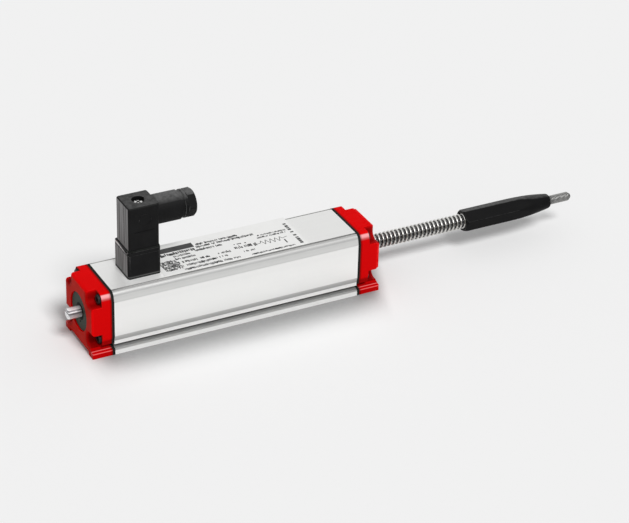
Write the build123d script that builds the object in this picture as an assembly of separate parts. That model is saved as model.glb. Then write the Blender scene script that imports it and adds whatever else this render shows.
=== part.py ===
from build123d import *
import math
import os

os.makedirs("parts", exist_ok=True)

# A spring-loaded linear displacement sensor. Millimetres, +Z up.
# The origin is under the middle of the housing, level with the soles of its feet.
# The rod runs along X and its tip points to +X.

# Housing extrusion
PROFILE_LENGTH = 137.0
PROFILE_WIDTH = 35.0
PROFILE_HEIGHT = 35.6
PROFILE_WALL = 2.5
CORNER_RADIUS = 3.5
SIDE_LEAN_DROP = 5.45
SIDE_LEAN_ANGLE = 12.0
TOP_GROOVE_INSET = 3.4
TOP_GROOVE_WIDTH = 1.0
TOP_GROOVE_DEPTH = 0.6

# Foot flanges and the clamping groove above each of them
FOOT_WIDTH = 5.5
FOOT_EDGE_HEIGHT = 3.2
FOOT_OVERHANG = 0.3
UNDERSIDE_RISE = 2.0
GROOVE_DEPTH = 3.2
GROOVE_TIP_LOW = 4.3
GROOVE_TIP_HIGH = 5.5
GROOVE_LIP_LOW = 6.4
GROOVE_LIP_HIGH = 8.3
GROOVE_LIP_INSET = 0.7
GROOVE_BEVEL_TOP = 10.5

# Screws that hold the end caps
SCREW_DIAMETER = 3.0
SCREW_HEAD_DIAMETER = 5.0
SCREW_HEAD_HEIGHT = 3.0
SCREW_BITE = 9.0
SCREW_SIDE_INSET = 3.9
SCREW_TOP_INSET = 3.7
SCREW_LOW_HEIGHT = 8.9
SCREW_BOSS_RADIUS = 3.0
SCREW_HEAD_RISE = 0.2
SHOULDER_WEB = 0.7

# End caps and their gaskets
GASKET_THICKNESS = 1.4
CAP_THICKNESS = 10.8
CAP_PLATE_THICKNESS = 5.2
CAP_EDGE_RADIUS = 1.6
POCKET_CORNER_RADIUS = 3.0
POCKET_INNER_WALL = 3.5
UPPER_POCKET_DROP = 3.2
LOWER_POCKET_DROP = 3.1
LOWER_POCKET_RISE = 4.2
BUSH_RECESS = 0.8

# Guide bushes
BUSH_FLANGE_DIAMETER = 20.5
BUSH_FLANGE_THICKNESS = 3.2
BUSH_SLEEVE_DIAMETER = 12.4
FRONT_BEARING_LENGTH = 8.0
REAR_SLEEVE_LENGTH = 14.0
SEAL_DIAMETER = 9.2
SEAL_THICKNESS = 1.8
VENT_DIAMETER = 1.2

# Rod, tip holder and stud
ROD_DIAMETER = 6.0
ROD_HEIGHT = 18.6
ROD_TAIL_REACH = 6.3
ROD_END_BEVEL = 0.5
ROD_EXTENSION = 61.5
ROD_GRIP = 12.0
HOLDER_FLATS = 11.0
HOLDER_TURN = 42.0
HOLDER_LENGTH = 52.6
HOLDER_RIM_RADIUS = 5.6
HOLDER_BODY_RADIUS = 6.35
HOLDER_RIM_LENGTH = 1.1
HOLDER_STRAIGHT = 27.8
HOLDER_WAIST_AT = 38.8
HOLDER_WAIST_RADIUS = 5.5
HOLDER_NOSE_RADIUS = 3.95
HOLDER_NOSE_STEPS = 4
STUD_DIAMETER = 5.0
STUD_REACH = 13.3
STUD_SHANK_DIAMETER = 4.2
STUD_BITE = 12.0
STUD_END_BEVEL = 0.8

# Return spring
SPRING_DIAMETER = 8.3
SPRING_WIRE = 1.0
SPRING_TURNS = 37.5
SPRING_CLOSED_PITCH = 1.08
SPRING_SEAT_DEPTH = 27.7
SPRING_HOLDER_DEPTH = 2.0
SPRING_STEPS_PER_TURN = 12
SPRING_WIRE_SIDES = 6

# Carriage, its wipers and the resistance track that they read
CARRIAGE_LENGTH = 22.0
CARRIAGE_TOP_DROP = 2.4
CARRIAGE_WING_HEIGHT = 5.0
RING_THICKNESS = 0.7
RING_DIAMETER = 9.3
RING_GROOVE_DIAMETER = 4.0
RING_OPENING = 3.3
END_STOP_GAP = 0.3
TRACK_THICKNESS = 1.6
TRACK_SLOT_BITE = 0.7
TRACK_ROOF_GAP = 1.0
TRACK_REAR_INSET = 12.5
TRACK_FRONT_INSET = 22.5
WIPER_STRIP = 0.25
WIPER_WIDTH = 4.0
WIPER_SPREAD = 5.0
WIPER_FOOT_X = 3.3
WIPER_KNEE_X = 8.8
WIPER_CREST_X = 16.5
WIPER_LEAD = 2.0
WIPER_LEAD_DROP = 0.75

# Connector: foot block, contact blades and right-angled plug
BLOCK_SIZE = 17.8
BLOCK_INSET = 20.35
BLOCK_HEIGHT = 14.2
BLOCK_CORNER = 1.4
BLOCK_DECK = 5.0
BLOCK_BORE_RADIUS = 6.2
BLOCK_GASKET = 0.8
BLOCK_SCREW_OFFSET = 6.6
BLOCK_SCREW_DIAMETER = 2.5
BLOCK_SCREW_HEAD = 4.2
BLOCK_SCREW_HEAD_HEIGHT = 1.4
WIRE_HOLE_RADIUS = 5.0
WIRE_DIAMETER = 1.0
PLUG_SHIFT = 0.65
PLUG_SIZE = 15.9
PLUG_HEIGHT = 23.8
PLUG_CORNER = 1.2
PLUG_TOP_BEVEL = 0.5
PLUG_WALL = 1.4
PLUG_ROOF = 3.4
PLUG_GASKET = 0.7
PLUG_GASKET_SIZE = 17.0
PLUG_GASKET_SHIFT = 0.45
PLUG_SCREW_RECESS_DIAMETER = 7.0
PLUG_SCREW_RECESS_DEPTH = 2.2
PLUG_SCREW_DIAMETER = 3.0
PLUG_SCREW_HEAD = 5.6
PLUG_SCREW_HEAD_HEIGHT = 1.6
PLUG_SCREW_BITE = 3.5
PLUG_SCREW_ROOM = 1.0
INSERT_HEIGHT = 11.7
BLADE_CIRCLE = 8.0
BLADE_WIDTH = 3.0
BLADE_THICKNESS = 0.8
BLADE_RISE = 9.4
BLADE_DROP = 2.6
TERMINAL_SCREW_DIAMETER = 2.6
TERMINAL_SCREW_LENGTH = 2.2

# Cord gland on the plug's arm
GLAND_DROP = 7.6
ARM_DIAMETER = 15.3
ARM_LENGTH = 13.0
NECK_DIAMETER = 13.6
NECK_LENGTH = 2.1
GLAND_THREAD_DIAMETER = 12.6
GLAND_THREAD_LENGTH = 2.8
GLAND_CHAMBER_DIAMETER = 10.4
GLAND_CHAMBER_DEPTH = 5.6
CORD_HOLE_DIAMETER = 6.8
GLAND_SEAL_BORE = 5.5
GLAND_WASHER_THICKNESS = 1.0
NUT_COLLAR_LENGTH = 1.1
NUT_GROOVE_LENGTH = 0.8
NUT_LENGTH = 6.2
NUT_DIAMETER = 14.8
NUT_FLATS = 13.2
NUT_END_BEVEL = 0.9

# Label
LABEL_THICKNESS = 0.15
LABEL_END_INSET = 27.0

# Clearances
SEAT_CLEARANCE = 0.1
RUNNING_CLEARANCE = 0.05
SLIDE_CLEARANCE = 0.2
HOLE_CLEARANCE = 0.2
THREAD_CLEARANCE = 0.02

# Places worked out from the sizes above
half_width = PROFILE_WIDTH / 2
profile_end = PROFILE_LENGTH / 2
cap_start = profile_end + GASKET_THICKNESS
cap_end = cap_start + CAP_THICKNESS
pocket_floor = cap_start + CAP_PLATE_THICKNESS
bush_face = cap_end - BUSH_RECESS
bush_shoulder = bush_face - BUSH_FLANGE_THICKNESS
side_lean_height = PROFILE_HEIGHT - SIDE_LEAN_DROP
screw_y = half_width - SCREW_SIDE_INSET
screw_high_z = PROFILE_HEIGHT - SCREW_TOP_INSET
head_top = pocket_floor + SCREW_HEAD_RISE
head_seat = head_top - SCREW_HEAD_HEIGHT
pocket_inner_y = screw_y - POCKET_INNER_WALL
upper_pocket_bottom = screw_high_z - UPPER_POCKET_DROP
lower_pocket_bottom = SCREW_LOW_HEIGHT - LOWER_POCKET_DROP
lower_pocket_top = SCREW_LOW_HEIGHT + LOWER_POCKET_RISE
cavity_half_width = half_width - PROFILE_WALL
cavity_neck_half = screw_y - SCREW_BOSS_RADIUS
cavity_floor = UNDERSIDE_RISE + PROFILE_WALL
cavity_roof = PROFILE_HEIGHT - PROFILE_WALL
shoulder_low = SCREW_LOW_HEIGHT + SCREW_BOSS_RADIUS + SHOULDER_WEB
shoulder_high = screw_high_z - SCREW_BOSS_RADIUS - SHOULDER_WEB
track_top = cavity_roof - TRACK_ROOF_GAP
track_bottom = track_top - TRACK_THICKNESS
track_rear = -profile_end + TRACK_REAR_INSET
track_front = profile_end - TRACK_FRONT_INSET

spring_seat = bush_face - SPRING_SEAT_DEPTH
front_bush_end = spring_seat - FRONT_BEARING_LENGTH
rear_bush_end = bush_shoulder - REAR_SLEEVE_LENGTH
front_ring_face = front_bush_end - END_STOP_GAP
carriage_front = front_ring_face - RING_THICKNESS - RUNNING_CLEARANCE
carriage_rear = carriage_front - CARRIAGE_LENGTH
rear_ring_face = carriage_rear - RUNNING_CLEARANCE
holder_rear = cap_end + ROD_EXTENSION
holder_front = holder_rear + HOLDER_LENGTH
holder_spring_floor = holder_rear + SPRING_HOLDER_DEPTH
rod_front = holder_spring_floor + ROD_GRIP
rod_rear = -cap_end - ROD_TAIL_REACH

block_x = -profile_end + BLOCK_INSET
plug_x = block_x + PLUG_SHIFT
block_bottom = PROFILE_HEIGHT + BLOCK_GASKET
block_top = block_bottom + BLOCK_HEIGHT
plug_bottom = block_top + PLUG_GASKET
plug_top = plug_bottom + PLUG_HEIGHT
gland_height = plug_top - GLAND_DROP
arm_root = plug_x + PLUG_SIZE / 2
arm_end = arm_root + ARM_LENGTH
nut_start = arm_end + NECK_LENGTH
nut_end = nut_start + NUT_LENGTH
blade_bottom = block_top - BLOCK_DECK - BLADE_DROP
insert_top = plug_bottom + INSERT_HEIGHT
label_end = profile_end - LABEL_END_INSET


def save(shape, name):
    shape.label = name
    export_step(shape, f"parts/{name}.step")


def cylinder_x(radius, start, end, y=0.0, z=ROD_HEIGHT):
    """A round bar along X between two places."""
    sketch = Plane.YZ.offset(start) * Pos(y, z) * Circle(radius)
    return extrude(sketch, end - start)


def cylinder_z(radius, bottom, top, x, y):
    """An upright round bar."""
    return Pos(x, y, bottom) * extrude(Circle(radius), top - bottom)


def hexagon_x(flats, start, end, y, z, turn=0.0):
    """A hexagonal bar along X, turned about its own axis."""
    outline = RegularPolygon(flats / 2, 6, major_radius=False, rotation=turn)
    return extrude(Plane.YZ.offset(start) * Pos(y, z) * outline, end - start)


def block_z(size, corner, bottom, top, x):
    """A square upright block with rounded corners, centred across the housing."""
    return Pos(x, 0, bottom) * extrude(RectangleRounded(size, size, corner), top - bottom)


def on_both_sides(shape):
    return [shape, mirror(shape, Plane.XZ)]


# Cross-section that the extrusion, the gaskets and the caps share

def half_outline():
    """Corners of the right half, from the middle of the underside round to the top."""
    lean = math.tan(math.radians(SIDE_LEAN_ANGLE)) * SIDE_LEAN_DROP
    lip_y = half_width - GROOVE_LIP_INSET
    tip_y = half_width - GROOVE_DEPTH
    foot_y = half_width + FOOT_OVERHANG
    return [
        (foot_y - FOOT_WIDTH, UNDERSIDE_RISE),
        (foot_y - FOOT_WIDTH, 0),
        (foot_y, 0),
        (foot_y, FOOT_EDGE_HEIGHT),
        (tip_y, GROOVE_TIP_LOW),
        (tip_y, GROOVE_TIP_HIGH),
        (lip_y, GROOVE_LIP_LOW),
        (lip_y, GROOVE_LIP_HIGH),
        (half_width, GROOVE_BEVEL_TOP),
        (half_width, side_lean_height),
        (half_width - lean, PROFILE_HEIGHT),
    ]


def section():
    """The outer outline with its two upper corners rounded."""
    right = half_outline()
    left = [(-y, z) for y, z in reversed(right)]
    outline = make_face(Polyline(*right, *left, close=True))
    upper = outline.vertices().group_by(Axis.Y)[-1]
    return fillet(upper, CORNER_RADIUS)


def on_section_plane(sketch, start):
    return Plane.YZ.offset(start) * sketch


def screw_places():
    return [(side * screw_y, z) for side in (-1, 1) for z in (SCREW_LOW_HEIGHT, screw_high_z)]


# Housing extrusion

def housing_profile():
    outline = section()
    groove_y = half_width - TOP_GROOVE_INSET
    for side in (-1, 1):
        groove = Rectangle(TOP_GROOVE_WIDTH, 2 * TOP_GROOVE_DEPTH)
        outline -= Pos(side * groove_y, PROFILE_HEIGHT) * groove
    column = Rectangle(2 * cavity_neck_half, cavity_roof - cavity_floor)
    hall = Rectangle(2 * cavity_half_width, shoulder_high - shoulder_low)
    slot_height = TRACK_THICKNESS + SEAT_CLEARANCE
    slot = Rectangle(2 * (cavity_neck_half + TRACK_SLOT_BITE), slot_height)
    outline -= Pos(0, (cavity_roof + cavity_floor) / 2) * column
    outline -= Pos(0, (shoulder_high + shoulder_low) / 2) * hall
    outline -= Pos(0, track_bottom + slot_height / 2) * slot
    for y, z in screw_places():
        outline -= Pos(y, z) * Circle(SCREW_DIAMETER / 2 + THREAD_CLEARANCE)
    body = extrude(on_section_plane(outline, -profile_end), PROFILE_LENGTH)
    body -= cylinder_z(WIRE_HOLE_RADIUS, track_top, PROFILE_HEIGHT + 1, plug_x, 0)
    for x, y in block_screw_places():
        hole = BLOCK_SCREW_DIAMETER / 2 + THREAD_CLEARANCE
        body -= cylinder_z(hole, track_top, PROFILE_HEIGHT + 1, x, y)
    return body


def gasket():
    """A flat sheet of the section's outline, at the front end."""
    sheet = section() - Pos(0, ROD_HEIGHT) * Circle(BUSH_SLEEVE_DIAMETER / 2 + HOLE_CLEARANCE)
    for y, z in screw_places():
        sheet -= Pos(y, z) * Circle(SCREW_DIAMETER / 2 + HOLE_CLEARANCE)
    return extrude(on_section_plane(sheet, profile_end), GASKET_THICKNESS)


# End caps: a moulded plate with a raised cross that leaves a pocket at each corner

def corner_pocket(bottom, top):
    """What is taken from one corner in front of the screw plate."""
    reach = PROFILE_WIDTH
    opening = Pos((pocket_inner_y + reach) / 2, (bottom + top) / 2)
    opening *= Rectangle(reach - pocket_inner_y, top - bottom)
    inner = opening.vertices().group_by(Axis.X)[0]
    opening = fillet(inner, POCKET_CORNER_RADIUS)
    return extrude(on_section_plane(opening, pocket_floor), CAP_THICKNESS)


def end_cap():
    """The front cap. The rear one is its mirror image."""
    cap = extrude(on_section_plane(section(), cap_start), CAP_THICKNESS)
    upper = corner_pocket(upper_pocket_bottom, PROFILE_HEIGHT + 2 * POCKET_CORNER_RADIUS)
    lower = corner_pocket(lower_pocket_bottom, lower_pocket_top)
    for tool in on_both_sides(upper) + on_both_sides(lower):
        cap -= tool
    rim = cap.faces().sort_by(Axis.X)[-1].edges()
    rim = rim.filter_by(lambda edge: edge.center().Z > lower_pocket_bottom + SEAT_CLEARANCE)
    cap = fillet(rim, CAP_EDGE_RADIUS)
    cap -= cylinder_x(BUSH_FLANGE_DIAMETER / 2 + HOLE_CLEARANCE, bush_shoulder, cap_end + 1)
    cap -= cylinder_x(BUSH_SLEEVE_DIAMETER / 2 + SEAT_CLEARANCE, cap_start - 1, bush_shoulder + 1)
    for y, z in screw_places():
        cap -= cylinder_x(SCREW_HEAD_DIAMETER / 2 + HOLE_CLEARANCE, head_seat, cap_end + 1, y, z)
        cap -= cylinder_x(SCREW_DIAMETER / 2 + HOLE_CLEARANCE, cap_start - 1, head_seat + 1, y, z)
    return cap


def cap_screws():
    """Four screws through each cap into the extrusion's screw channels."""
    screws = []
    for y, z in screw_places():
        screw = cylinder_x(SCREW_DIAMETER / 2, profile_end - SCREW_BITE, head_seat, y, z)
        screw += cylinder_x(SCREW_HEAD_DIAMETER / 2, head_seat, head_top, y, z)
        screws += [screw, mirror(screw, Plane.YZ)]
    return Compound(children=screws)


# Guide bushes and rod seals

def front_bush():
    bush = cylinder_x(BUSH_SLEEVE_DIAMETER / 2, front_bush_end, bush_face)
    bush += cylinder_x(BUSH_FLANGE_DIAMETER / 2, bush_shoulder, bush_face)
    bush -= cylinder_x(ROD_DIAMETER / 2 + RUNNING_CLEARANCE, front_bush_end - 1, bush_face + 1)
    bush -= cylinder_x(SPRING_DIAMETER / 2 + SLIDE_CLEARANCE, spring_seat, bush_face + 1)
    bush -= cylinder_x(SEAL_DIAMETER / 2, front_bush_end - 1, front_bush_end + SEAL_THICKNESS)
    return bush


def rod_seals():
    """A sealing ring in the inner end of the front bush and one in the rear bush's face."""
    rings = []
    for start in (front_bush_end, -bush_face):
        end = start + SEAL_THICKNESS
        ring = cylinder_x(SEAL_DIAMETER / 2, start, end)
        ring -= cylinder_x(ROD_DIAMETER / 2 + RUNNING_CLEARANCE, start - 1, end + 1)
        rings.append(ring)
    return Compound(children=rings)


def rear_bush():
    bush = cylinder_x(BUSH_SLEEVE_DIAMETER / 2, -bush_face, -rear_bush_end)
    bush += cylinder_x(BUSH_FLANGE_DIAMETER / 2, -bush_face, -bush_shoulder)
    bush -= cylinder_x(ROD_DIAMETER / 2 + RUNNING_CLEARANCE, -bush_face - 1, -rear_bush_end + 1)
    bush -= cylinder_x(SEAL_DIAMETER / 2, -bush_face - 1, -bush_face + SEAL_THICKNESS)
    vent_z = ROD_HEIGHT - SEAL_DIAMETER / 2 - VENT_DIAMETER
    vent_end = -bush_face + BUSH_FLANGE_THICKNESS / 2
    return bush - cylinder_x(VENT_DIAMETER / 2, -bush_face - 1, vent_end, 0, vent_z)


# Rod and what it carries

def guide_rod():
    rod = cylinder_x(ROD_DIAMETER / 2, rod_rear, rod_front)
    rod = chamfer(rod.edges().group_by(Axis.X)[0], ROD_END_BEVEL)
    for face in (front_ring_face - RING_THICKNESS, rear_ring_face - RING_THICKNESS):
        collar = cylinder_x(ROD_DIAMETER / 2 + 1, face, face + RING_THICKNESS)
        rod -= collar - cylinder_x(RING_GROOVE_DIAMETER / 2, face - 1, face + RING_THICKNESS + 1)
    return rod


def retaining_rings():
    """Two open rings in the rod's grooves, one each side of the carriage."""
    rings = []
    for face in (front_ring_face - RING_THICKNESS, rear_ring_face - RING_THICKNESS):
        ring = Circle(RING_DIAMETER / 2) - Circle(RING_GROOVE_DIAMETER / 2)
        ring -= Pos(0, -RING_DIAMETER / 2) * Rectangle(RING_OPENING, RING_DIAMETER)
        place = Plane.YZ.offset(face) * Pos(0, ROD_HEIGHT)
        rings.append(extrude(place * ring, RING_THICKNESS))
    return Compound(children=rings)


def tip_holder():
    """A hexagonal grip whose corners run out into a slender rounded nose."""
    rim = (holder_rear, HOLDER_RIM_RADIUS)
    shoulder = (holder_rear + HOLDER_RIM_LENGTH, HOLDER_BODY_RADIUS)
    taper_start = (holder_rear + HOLDER_STRAIGHT, HOLDER_BODY_RADIUS)
    waist = (holder_rear + HOLDER_WAIST_AT, HOLDER_WAIST_RADIUS)
    nose = (holder_front, HOLDER_NOSE_RADIUS)
    ogive = ThreePointArc(taper_start, waist, nose)
    steps = [ogive @ (i / HOLDER_NOSE_STEPS) for i in range(HOLDER_NOSE_STEPS)]
    points = [(holder_rear, 0), rim, shoulder, *steps, nose, (holder_front, 0)]
    turned = revolve(Plane.XZ * make_face(Polyline(*points, close=True)), Axis.X)
    turned = Pos(0, 0, ROD_HEIGHT) * turned
    holder = turned & hexagon_x(HOLDER_FLATS, holder_rear, holder_front, 0, ROD_HEIGHT, HOLDER_TURN)
    holder -= cylinder_x(SPRING_DIAMETER / 2 + SLIDE_CLEARANCE, holder_rear - 1, holder_spring_floor)
    holder -= cylinder_x(ROD_DIAMETER / 2, holder_rear, rod_front)
    shank_start = holder_front - STUD_BITE
    return holder - cylinder_x(STUD_SHANK_DIAMETER / 2, shank_start, holder_front + 1)


def tip_stud():
    """The tip stands on the holder's nose, and a slimmer shank holds it there."""
    stud = cylinder_x(STUD_DIAMETER / 2, holder_front, holder_front + STUD_REACH)
    stud = chamfer(stud.edges().group_by(Axis.X)[-1], STUD_END_BEVEL)
    return stud + cylinder_x(STUD_SHANK_DIAMETER / 2, holder_front - STUD_BITE, holder_front)


def return_spring():
    """Round wire coiled over the rod, with one closed turn at each end."""
    mean_radius = (SPRING_DIAMETER - SPRING_WIRE) / 2
    closed_pitch = SPRING_CLOSED_PITCH * SPRING_WIRE
    length = holder_spring_floor - spring_seat - SPRING_WIRE
    open_pitch = (length - 2 * closed_pitch) / SPRING_TURNS
    turns = SPRING_TURNS + 2

    def height(turn):
        opened = min(max(turn - 1, 0), SPRING_TURNS)
        return closed_pitch * (turn - opened) + open_pitch * opened

    def wire_section(turn):
        angle = 2 * math.pi * turn
        outward = Vector(0, math.sin(angle), math.cos(angle))
        middle = Vector(spring_seat + SPRING_WIRE / 2 + height(turn), 0, ROD_HEIGHT)
        middle += outward * mean_radius
        corners = []
        for side in range(SPRING_WIRE_SIDES):
            bearing = 2 * math.pi * side / SPRING_WIRE_SIDES
            out = outward * (math.cos(bearing) * SPRING_WIRE / 2)
            corners.append(middle + out + Vector(math.sin(bearing) * SPRING_WIRE / 2, 0, 0))
        return Wire.make_polygon(corners)

    steps = round(turns * SPRING_STEPS_PER_TURN)
    return Solid.make_loft([wire_section(turns * i / steps) for i in range(steps + 1)], ruled=True)


# Carriage and resistance track

def carriage():
    top = track_bottom - CARRIAGE_TOP_DROP
    bottom = cavity_floor + PROFILE_WALL
    column = Rectangle(2 * (cavity_neck_half - SLIDE_CLEARANCE), top - bottom)
    wing_bottom = shoulder_low + SLIDE_CLEARANCE
    wings = Rectangle(2 * (cavity_half_width - SLIDE_CLEARANCE), CARRIAGE_WING_HEIGHT)
    outline = Pos(0, (top + bottom) / 2) * column
    outline += Pos(0, wing_bottom + CARRIAGE_WING_HEIGHT / 2) * wings
    outline -= Pos(0, ROD_HEIGHT) * Circle(ROD_DIAMETER / 2 + RUNNING_CLEARANCE)
    return extrude(on_section_plane(outline, carriage_rear), CARRIAGE_LENGTH)


def wiper_contacts():
    """Two bent spring strips that reach from the carriage to the underside of the track."""
    low = track_bottom - CARRIAGE_TOP_DROP
    high = track_bottom - RUNNING_CLEARANCE
    start = carriage_rear + WIPER_FOOT_X
    knee = carriage_rear + WIPER_KNEE_X
    crest = carriage_rear + WIPER_CREST_X
    lead = crest + WIPER_LEAD
    lead_top = high - WIPER_LEAD_DROP
    strip = make_face(
        Polyline(
            (start, low),
            (knee, low),
            (crest, high - WIPER_STRIP),
            (lead, lead_top - WIPER_STRIP),
            (lead, lead_top),
            (crest, high),
            (knee, low + WIPER_STRIP),
            (start, low + WIPER_STRIP),
            close=True,
        )
    )
    strips = []
    for side in (-1, 1):
        place = Plane.XZ.offset(-side * WIPER_SPREAD - WIPER_WIDTH / 2)
        strips.append(extrude(place * strip, WIPER_WIDTH))
    return Compound(children=strips)


def resistance_track():
    width = 2 * (cavity_neck_half + TRACK_SLOT_BITE - SEAT_CLEARANCE)
    length = track_front - track_rear
    plate = Box(length, width, TRACK_THICKNESS)
    return Pos((track_front + track_rear) / 2, 0, track_bottom + TRACK_THICKNESS / 2) * plate


# Connector on top of the housing

def block_screw_places():
    """Two opposite corners of the foot block."""
    offset = BLOCK_SCREW_OFFSET
    return [(block_x + side * offset, side * offset) for side in (-1, 1)]


def blade_places():
    """Place and turn of each contact blade round the plug's screw."""
    reach = BLADE_CIRCLE / 2
    return [(plug_x + reach, 0, 0), (plug_x - reach, 0, 0), (plug_x, reach, 90), (plug_x, -reach, 90)]


def blade_holes(bottom, top, clearance):
    holes = []
    for x, y, turn in blade_places():
        hole = Rectangle(BLADE_THICKNESS + 2 * clearance, BLADE_WIDTH + 2 * clearance)
        holes.append(Pos(x, y, bottom) * Rot(0, 0, turn) * extrude(hole, top - bottom))
    return holes


def connector_gasket():
    sheet = block_z(BLOCK_SIZE, BLOCK_CORNER, PROFILE_HEIGHT, block_bottom, block_x)
    sheet -= cylinder_z(BLOCK_BORE_RADIUS, PROFILE_HEIGHT - 1, block_bottom + 1, block_x, 0)
    for x, y in block_screw_places():
        hole = BLOCK_SCREW_DIAMETER / 2 + HOLE_CLEARANCE
        sheet -= cylinder_z(hole, PROFILE_HEIGHT - 1, block_bottom + 1, x, y)
    return sheet


def connector_block():
    deck_bottom = block_top - BLOCK_DECK
    block = block_z(BLOCK_SIZE, BLOCK_CORNER, block_bottom, block_top, block_x)
    block -= cylinder_z(BLOCK_BORE_RADIUS, block_bottom - 1, deck_bottom, block_x, 0)
    for hole in blade_holes(deck_bottom - 1, block_top + 1, 0):
        block -= hole
    screw_bottom = block_top - PLUG_SCREW_BITE - PLUG_SCREW_ROOM
    screw_radius = PLUG_SCREW_DIAMETER / 2 + THREAD_CLEARANCE
    block -= cylinder_z(screw_radius, screw_bottom, block_top + 1, plug_x, 0)
    for x, y in block_screw_places():
        hole = BLOCK_SCREW_DIAMETER / 2 + HOLE_CLEARANCE
        head = BLOCK_SCREW_HEAD / 2 + HOLE_CLEARANCE
        block -= cylinder_z(hole, block_bottom - 1, block_top + 1, x, y)
        block -= cylinder_z(head, block_top - BLOCK_SCREW_HEAD_HEIGHT, block_top + 1, x, y)
    return block


def block_screws():
    screws = []
    seat = block_top - BLOCK_SCREW_HEAD_HEIGHT
    for x, y in block_screw_places():
        screw = cylinder_z(BLOCK_SCREW_DIAMETER / 2, cavity_roof, seat, x, y)
        screws.append(screw + cylinder_z(BLOCK_SCREW_HEAD / 2, seat, block_top, x, y))
    return Compound(children=screws)


def contact_blades():
    return Compound(children=blade_holes(blade_bottom, plug_bottom + BLADE_RISE, 0))


def track_wires():
    """Three leads from the end of the track up to the foot of the contact blades."""
    places = [(x, y) for x, y, turn in blade_places() if x >= plug_x]
    radius = WIRE_DIAMETER / 2
    return Compound(children=[cylinder_z(radius, track_top, blade_bottom, x, y) for x, y in places])


def plug_gasket():
    sheet = block_z(PLUG_GASKET_SIZE, BLOCK_CORNER, block_top, plug_bottom, block_x + PLUG_GASKET_SHIFT)
    for hole in blade_holes(block_top - 1, plug_bottom + 1, HOLE_CLEARANCE):
        sheet -= hole
    hole = PLUG_SCREW_DIAMETER / 2 + HOLE_CLEARANCE
    return sheet - cylinder_z(hole, block_top - 1, plug_bottom + 1, plug_x, 0)


def plug_housing():
    """The right-angled hood with its gland arm, moulded in one piece."""
    hood = block_z(PLUG_SIZE, PLUG_CORNER, plug_bottom, plug_top, plug_x)
    hood = chamfer(hood.edges().group_by(Axis.Z)[-1], PLUG_TOP_BEVEL)
    arm_inside = arm_root - PLUG_WALL
    hood += cylinder_x(ARM_DIAMETER / 2, arm_inside, arm_end, 0, gland_height)
    hood += cylinder_x(NECK_DIAMETER / 2, arm_end, nut_start, 0, gland_height)
    thread_end = nut_start + GLAND_THREAD_LENGTH
    hood += cylinder_x(GLAND_THREAD_DIAMETER / 2, nut_start, thread_end, 0, gland_height)
    room = PLUG_SIZE - 2 * PLUG_WALL
    hood -= block_z(room, PLUG_CORNER / 2, plug_bottom - 1, plug_top - PLUG_ROOF, plug_x)
    hood -= cylinder_x(CORD_HOLE_DIAMETER / 2, plug_x, thread_end + 1, 0, gland_height)
    chamber_floor = thread_end - GLAND_CHAMBER_DEPTH
    chamber = GLAND_CHAMBER_DIAMETER / 2
    hood -= cylinder_x(chamber, chamber_floor, thread_end + 1, 0, gland_height)
    recess_floor = plug_top - PLUG_SCREW_RECESS_DEPTH
    recess = PLUG_SCREW_RECESS_DIAMETER / 2
    hood -= cylinder_z(recess, recess_floor, plug_top + 1, plug_x, 0)
    hole = PLUG_SCREW_DIAMETER / 2 + HOLE_CLEARANCE
    return hood - cylinder_z(hole, plug_bottom, plug_top + 1, plug_x, 0)


def contact_insert():
    room = PLUG_SIZE - 2 * PLUG_WALL - 2 * SEAT_CLEARANCE
    insert = block_z(room, PLUG_CORNER / 2, plug_bottom, insert_top, plug_x)
    blade_top = plug_bottom + BLADE_RISE + SEAT_CLEARANCE
    for hole in blade_holes(plug_bottom - 1, blade_top, SEAT_CLEARANCE):
        insert -= hole
    for x, y, turn in blade_places():
        hole = TERMINAL_SCREW_DIAMETER / 2 + THREAD_CLEARANCE
        insert -= cylinder_z(hole, insert_top - TERMINAL_SCREW_LENGTH, insert_top + 1, x, y)
    hole = PLUG_SCREW_DIAMETER / 2 + HOLE_CLEARANCE
    return insert - cylinder_z(hole, plug_bottom - 1, insert_top + 1, plug_x, 0)


def terminal_screws():
    """A headless screw over each blade, which clamps the cord's wire."""
    low = insert_top - TERMINAL_SCREW_LENGTH
    radius = TERMINAL_SCREW_DIAMETER / 2
    screws = [cylinder_z(radius, low, insert_top, x, y) for x, y, turn in blade_places()]
    return Compound(children=screws)


def plug_screw():
    seat = plug_top - PLUG_SCREW_RECESS_DEPTH
    screw = cylinder_z(PLUG_SCREW_DIAMETER / 2, block_top - PLUG_SCREW_BITE, seat, plug_x, 0)
    return screw + cylinder_z(PLUG_SCREW_HEAD / 2, seat, seat + PLUG_SCREW_HEAD_HEIGHT, plug_x, 0)


# Cord gland

def gland_seal():
    thread_end = nut_start + GLAND_THREAD_LENGTH
    start = thread_end - GLAND_CHAMBER_DEPTH
    end = thread_end - GLAND_WASHER_THICKNESS
    outer = GLAND_CHAMBER_DIAMETER / 2 - SEAT_CLEARANCE
    ring = cylinder_x(outer, start, end, 0, gland_height)
    return ring - cylinder_x(GLAND_SEAL_BORE / 2, start - 1, end + 1, 0, gland_height)


def gland_washer():
    end = nut_start + GLAND_THREAD_LENGTH
    start = end - GLAND_WASHER_THICKNESS
    outer = GLAND_CHAMBER_DIAMETER / 2 - SEAT_CLEARANCE
    ring = cylinder_x(outer, start, end, 0, gland_height)
    return ring - cylinder_x(CORD_HOLE_DIAMETER / 2, start - 1, end + 1, 0, gland_height)


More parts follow.
